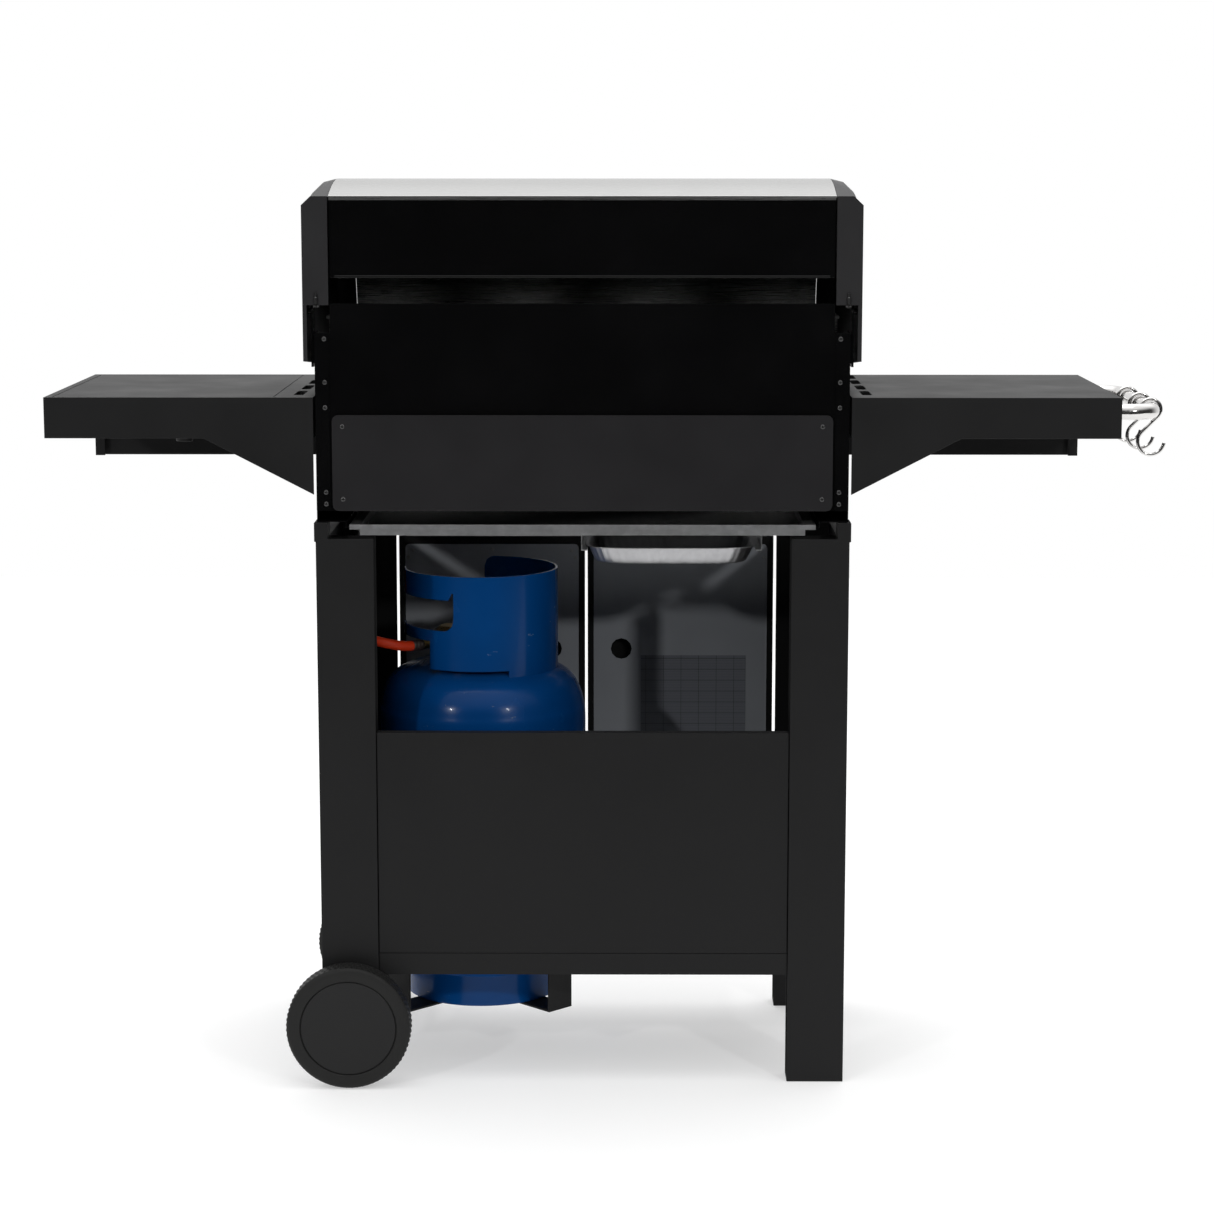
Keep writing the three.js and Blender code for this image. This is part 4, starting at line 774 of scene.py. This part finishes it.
def screw(centre, direction, radius=3.2):
    """A head of height dome(r) with a cross sunk where |x| or |y| is small, on a direction."""
    w = np.asarray(direction, float)
    u = np.cross(w, (0.21, 0.3, 0.93))
    u /= np.linalg.norm(u)
    v = np.cross(w, u)
    r = np.array([0, 0.14, 0.3, 0.5, 0.56, 0.8, 0.95, 1.0, 1.0])
    a = np.linspace(0, 2 * np.pi, 16, endpoint=False)[:, None]
    x, y = r * np.cos(a), r * np.sin(a)
    dome = 0.55 * np.sqrt(np.clip(1 - r**2 * 0.8, 0, 1)) - 0.2
    dome[-1] = -0.15
    sunk = ((np.abs(x) < 0.13) | (np.abs(y) < 0.13)) & (r <= 0.5)
    h = dome - 0.28 * sunk
    local = x[..., None] * u + y[..., None] * v + h[..., None] * w
    points = np.asarray(centre, float) + radius * local
    back = np.arange(len(a)) * len(r) + len(r) - 1
    return points.reshape(-1, 3), [*grid_faces(len(a), len(r), True, False), back]


SCREW_BLACK = surface("blackened screw", "galvanised", (0.07, 0.07, 0.07), 0.3, 0.8,
                      grain=1.5, relief=0.02)
REAR = (0, 1, 0)
cart_screws = [((s * 322, 200.0, z), REAR) for s in (-1, 1) for z in (813, 911)]
cart_screws += [((s * 345, 196.1, z), REAR) for s in (-1, 1) for z in (1028, 970, 936)]
cart_screws += [((s * 345, 196.1, z), REAR) for s in (-1, 1) for z in (806, 822)]
piece("cart_screws", joined(*[screw(*s) for s in cart_screws]), SCREW_BLACK)
for side, sign in (("left", -1), ("right", 1)):
    spots = [(x, z) for x in (22, 256) for z in (690, 206)]
    spots += [(x, z) for x in (16, 263) for z in (680, 216)] + [(139, 692)]
    heads = [screw((sign * x, -182.9, z), REAR, 2.6) for x, z in spots]
    piece(f"door_{side}_screws", joined(*heads), ZINC, f"door_{side}")
PIN_X = 355
pin = [(0, 1074), (2.2, 1074), (2.2, 1083), (1.4, 1084), (1.4, 1089), (0, 1089.6)]
nut = [(0, 1068.6), (3, 1069), (4.6, 1070.4), (5, 1072.6), (0, 1072.6)]
lid_parts = [turned(pin, (s * PIN_X, 199.0, 0), sides=16) for s in (-1, 1)]
lid_parts += [turned(nut, (s * PIN_X, 194.0, 0), sides=24) for s in (-1, 1)]
piece("lid_pins", joined(*lid_parts), SCREW_BLACK, "lid")
print(len(cart_screws), "screws on the cart")

# %% [markdown]
# ## The rating label
# A printed sheet with ruled rows is stuck inside the left door. Real ones carry text; this one
# has only plain ruled lines, so that it says nothing. The rules are drawn by the material.
# %% Label


def label_paper():
    """Pale paper; thin dark rules where a saw-tooth of z or x falls under a small width."""
    material, slot = surface("label paper", "liner_grey", (0.22, 0.232, 0.262), 0.5,
                             drift=0.05, grain=2, relief=0.01)
    tree = material.node_tree
    shader = tree.nodes["Principled BSDF"]
    split = node_of(tree, "ShaderNodeSeparateXYZ")
    tree.links.new(node_of(tree, "ShaderNodeTexCoord").outputs["Object"], split.inputs[0])
    rules = []
    for axis, pitch, width in (("Z", 0.0165, 0.03), ("X", 0.0262, 0.018), ("Z", 0.0041, 0.10)):
        ratio = node_of(tree, "ShaderNodeMath", operation="DIVIDE")
        ratio.inputs[1].default_value = pitch
        wrap = node_of(tree, "ShaderNodeMath", operation="FRACT")
        line = node_of(tree, "ShaderNodeMath", operation="LESS_THAN")
        line.inputs[1].default_value = width
        tree.links.new(split.outputs[axis], ratio.inputs[0])
        tree.links.new(ratio.outputs[0], wrap.inputs[0])
        tree.links.new(wrap.outputs[0], line.inputs[0])
        rules.append(line)
    both = node_of(tree, "ShaderNodeMath", operation="MAXIMUM")
    tree.links.new(rules[0].outputs[0], both.inputs[0])
    tree.links.new(rules[1].outputs[0], both.inputs[1])
    weak = node_of(tree, "ShaderNodeMath", operation="MULTIPLY")
    weak.inputs[1].default_value = 0.3
    tree.links.new(rules[2].outputs[0], weak.inputs[0])
    total = node_of(tree, "ShaderNodeMath", operation="MAXIMUM")
    tree.links.new(both.outputs[0], total.inputs[0])
    tree.links.new(weak.outputs[0], total.inputs[1])
    mix = node_of(tree, "ShaderNodeMix", data_type="RGBA")
    mix.inputs[7].default_value = (0.03, 0.03, 0.035, 1)
    tree.links.new(total.outputs[0], mix.inputs[0])
    tree.links.new(shader.inputs["Base Color"].links[0].from_socket, mix.inputs[6])
    tree.links.new(mix.outputs[2], shader.inputs["Base Color"])
    return material, slot


LABEL = label_paper()
label_outline = [(-182.95, 300), (-182.95, 533), (-182.6, 533), (-182.6, 300)]
piece("door_label", along_x(label_outline, -237, -81), LABEL, "door_left")
print("label 156 x 233 mm")

# %% [markdown]
# ## Studio
# A pale floor runs far back under a white surround. It glows a little, like a light table, which
# keeps the shadow pale. A large soft light hangs overhead, and two small ones on the camera's
# side, left and right, give the pair of highlights on the bottle.
# %% Floor
FLOOR_X, FLOOR_BACK, FLOOR_FRONT = 4.0, -4.5, 1.9
floor_mesh = bpy.data.meshes.new("studio_floor")
corners = [(-FLOOR_X, FLOOR_BACK), (FLOOR_X, FLOOR_BACK), (FLOOR_X, FLOOR_FRONT), (-FLOOR_X, FLOOR_FRONT)]
floor_mesh.from_pydata([(x, y, -0.0005) for x, y in corners], [], [(0, 1, 2, 3)])
studio_floor = bpy.data.objects.new("studio_floor", floor_mesh)
bpy.context.scene.collection.objects.link(studio_floor)
table, _ = surface("studio floor", "foil", (0.62, 0.62, 0.62), 0.7, drift=0.01, relief=0.0, shine=0.1)
glow = table.node_tree.nodes["Principled BSDF"]
glow.inputs["Emission Color"].default_value = (1, 1, 1, 1)
glow.inputs["Emission Strength"].default_value = 0.42
floor_mesh.materials.append(table)
print("floor", 2 * FLOOR_X, "m wide")

# %% [markdown]
# The surround is white to the eye, but as a light it is bright overhead and behind the grill and
# dim on the side that it is seen from, as in a studio where the black paint must stay black. The
# strength therefore follows the direction, z for height and y for front to back.
# %% Surround
bpy.context.scene.view_settings.view_transform = "Standard"
OVERHEAD, BEHIND, DIM = 1.15, 0.9, 0.04
world = bpy.data.worlds.new("studio")
bpy.context.scene.world = world
world.use_nodes = True
tree = world.node_tree
tree.nodes.clear()
output = tree.nodes.new("ShaderNodeOutputWorld")
seen = node_of(tree, "ShaderNodeBackground", Color=(1, 1, 1, 1), Strength=1.0)
light = node_of(tree, "ShaderNodeBackground", Color=(1, 1, 1, 1))
split = node_of(tree, "ShaderNodeSeparateXYZ")
tree.links.new(tree.nodes.new("ShaderNodeTexCoord").outputs["Generated"], split.inputs[0])
strengths = []
for axis, low, high, peak in (("Z", 0.25, 0.9, OVERHEAD), ("Y", 0.1, -0.7, BEHIND)):
    spread = node_of(tree, "ShaderNodeMapRange", interpolation_type="SMOOTHSTEP")
    for key, value in (("From Min", low), ("From Max", high), ("To Min", DIM / 2), ("To Max", peak)):
        spread.inputs[key].default_value = value
    tree.links.new(split.outputs[axis], spread.inputs["Value"])
    strengths.append(spread.outputs[0])
total = node_of(tree, "ShaderNodeMath", operation="ADD")
for socket, strength in zip(total.inputs, strengths):
    tree.links.new(strength, socket)
tree.links.new(total.outputs[0], light.inputs["Strength"])
choose = tree.nodes.new("ShaderNodeMixShader")
ray = tree.nodes.new("ShaderNodeLightPath")
tree.links.new(ray.outputs["Is Camera Ray"], choose.inputs[0])
tree.links.new(light.outputs[0], choose.inputs[1])
tree.links.new(seen.outputs[0], choose.inputs[2])
tree.links.new(choose.outputs[0], output.inputs[0])
print("surround set")

# %% [markdown]
# A light is turned to its target by two angles: how far the line to the target leans from
# straight down, and its heading. A Track To constraint could do it, but needs a target object.
# %% Lights


def area_light(name, place, target, size, power):
    """A soft square light at a place, facing a target."""
    data = bpy.data.lights.new(name, "AREA")
    data.size, data.energy = size, power
    obj = bpy.data.objects.new(name, data)
    obj.location = place
    way = np.subtract(target, place)
    lean = math.acos(-way[2] / np.linalg.norm(way))
    obj.rotation_euler = (lean, 0, math.atan2(way[1], way[0]) - math.pi / 2)
    bpy.context.scene.collection.objects.link(obj)


area_light("overhead", (0.0, 0.0, 4.0), (0, 0, 0.6), 3.0, 45)
area_light("left box", (2.7, 3.9, 2.3), (0.1, 0, 0.6), 0.2, 34)
area_light("right box", (-2.3, 3.9, 2.3), (0.1, 0, 0.6), 0.2, 34)
print("studio lit")
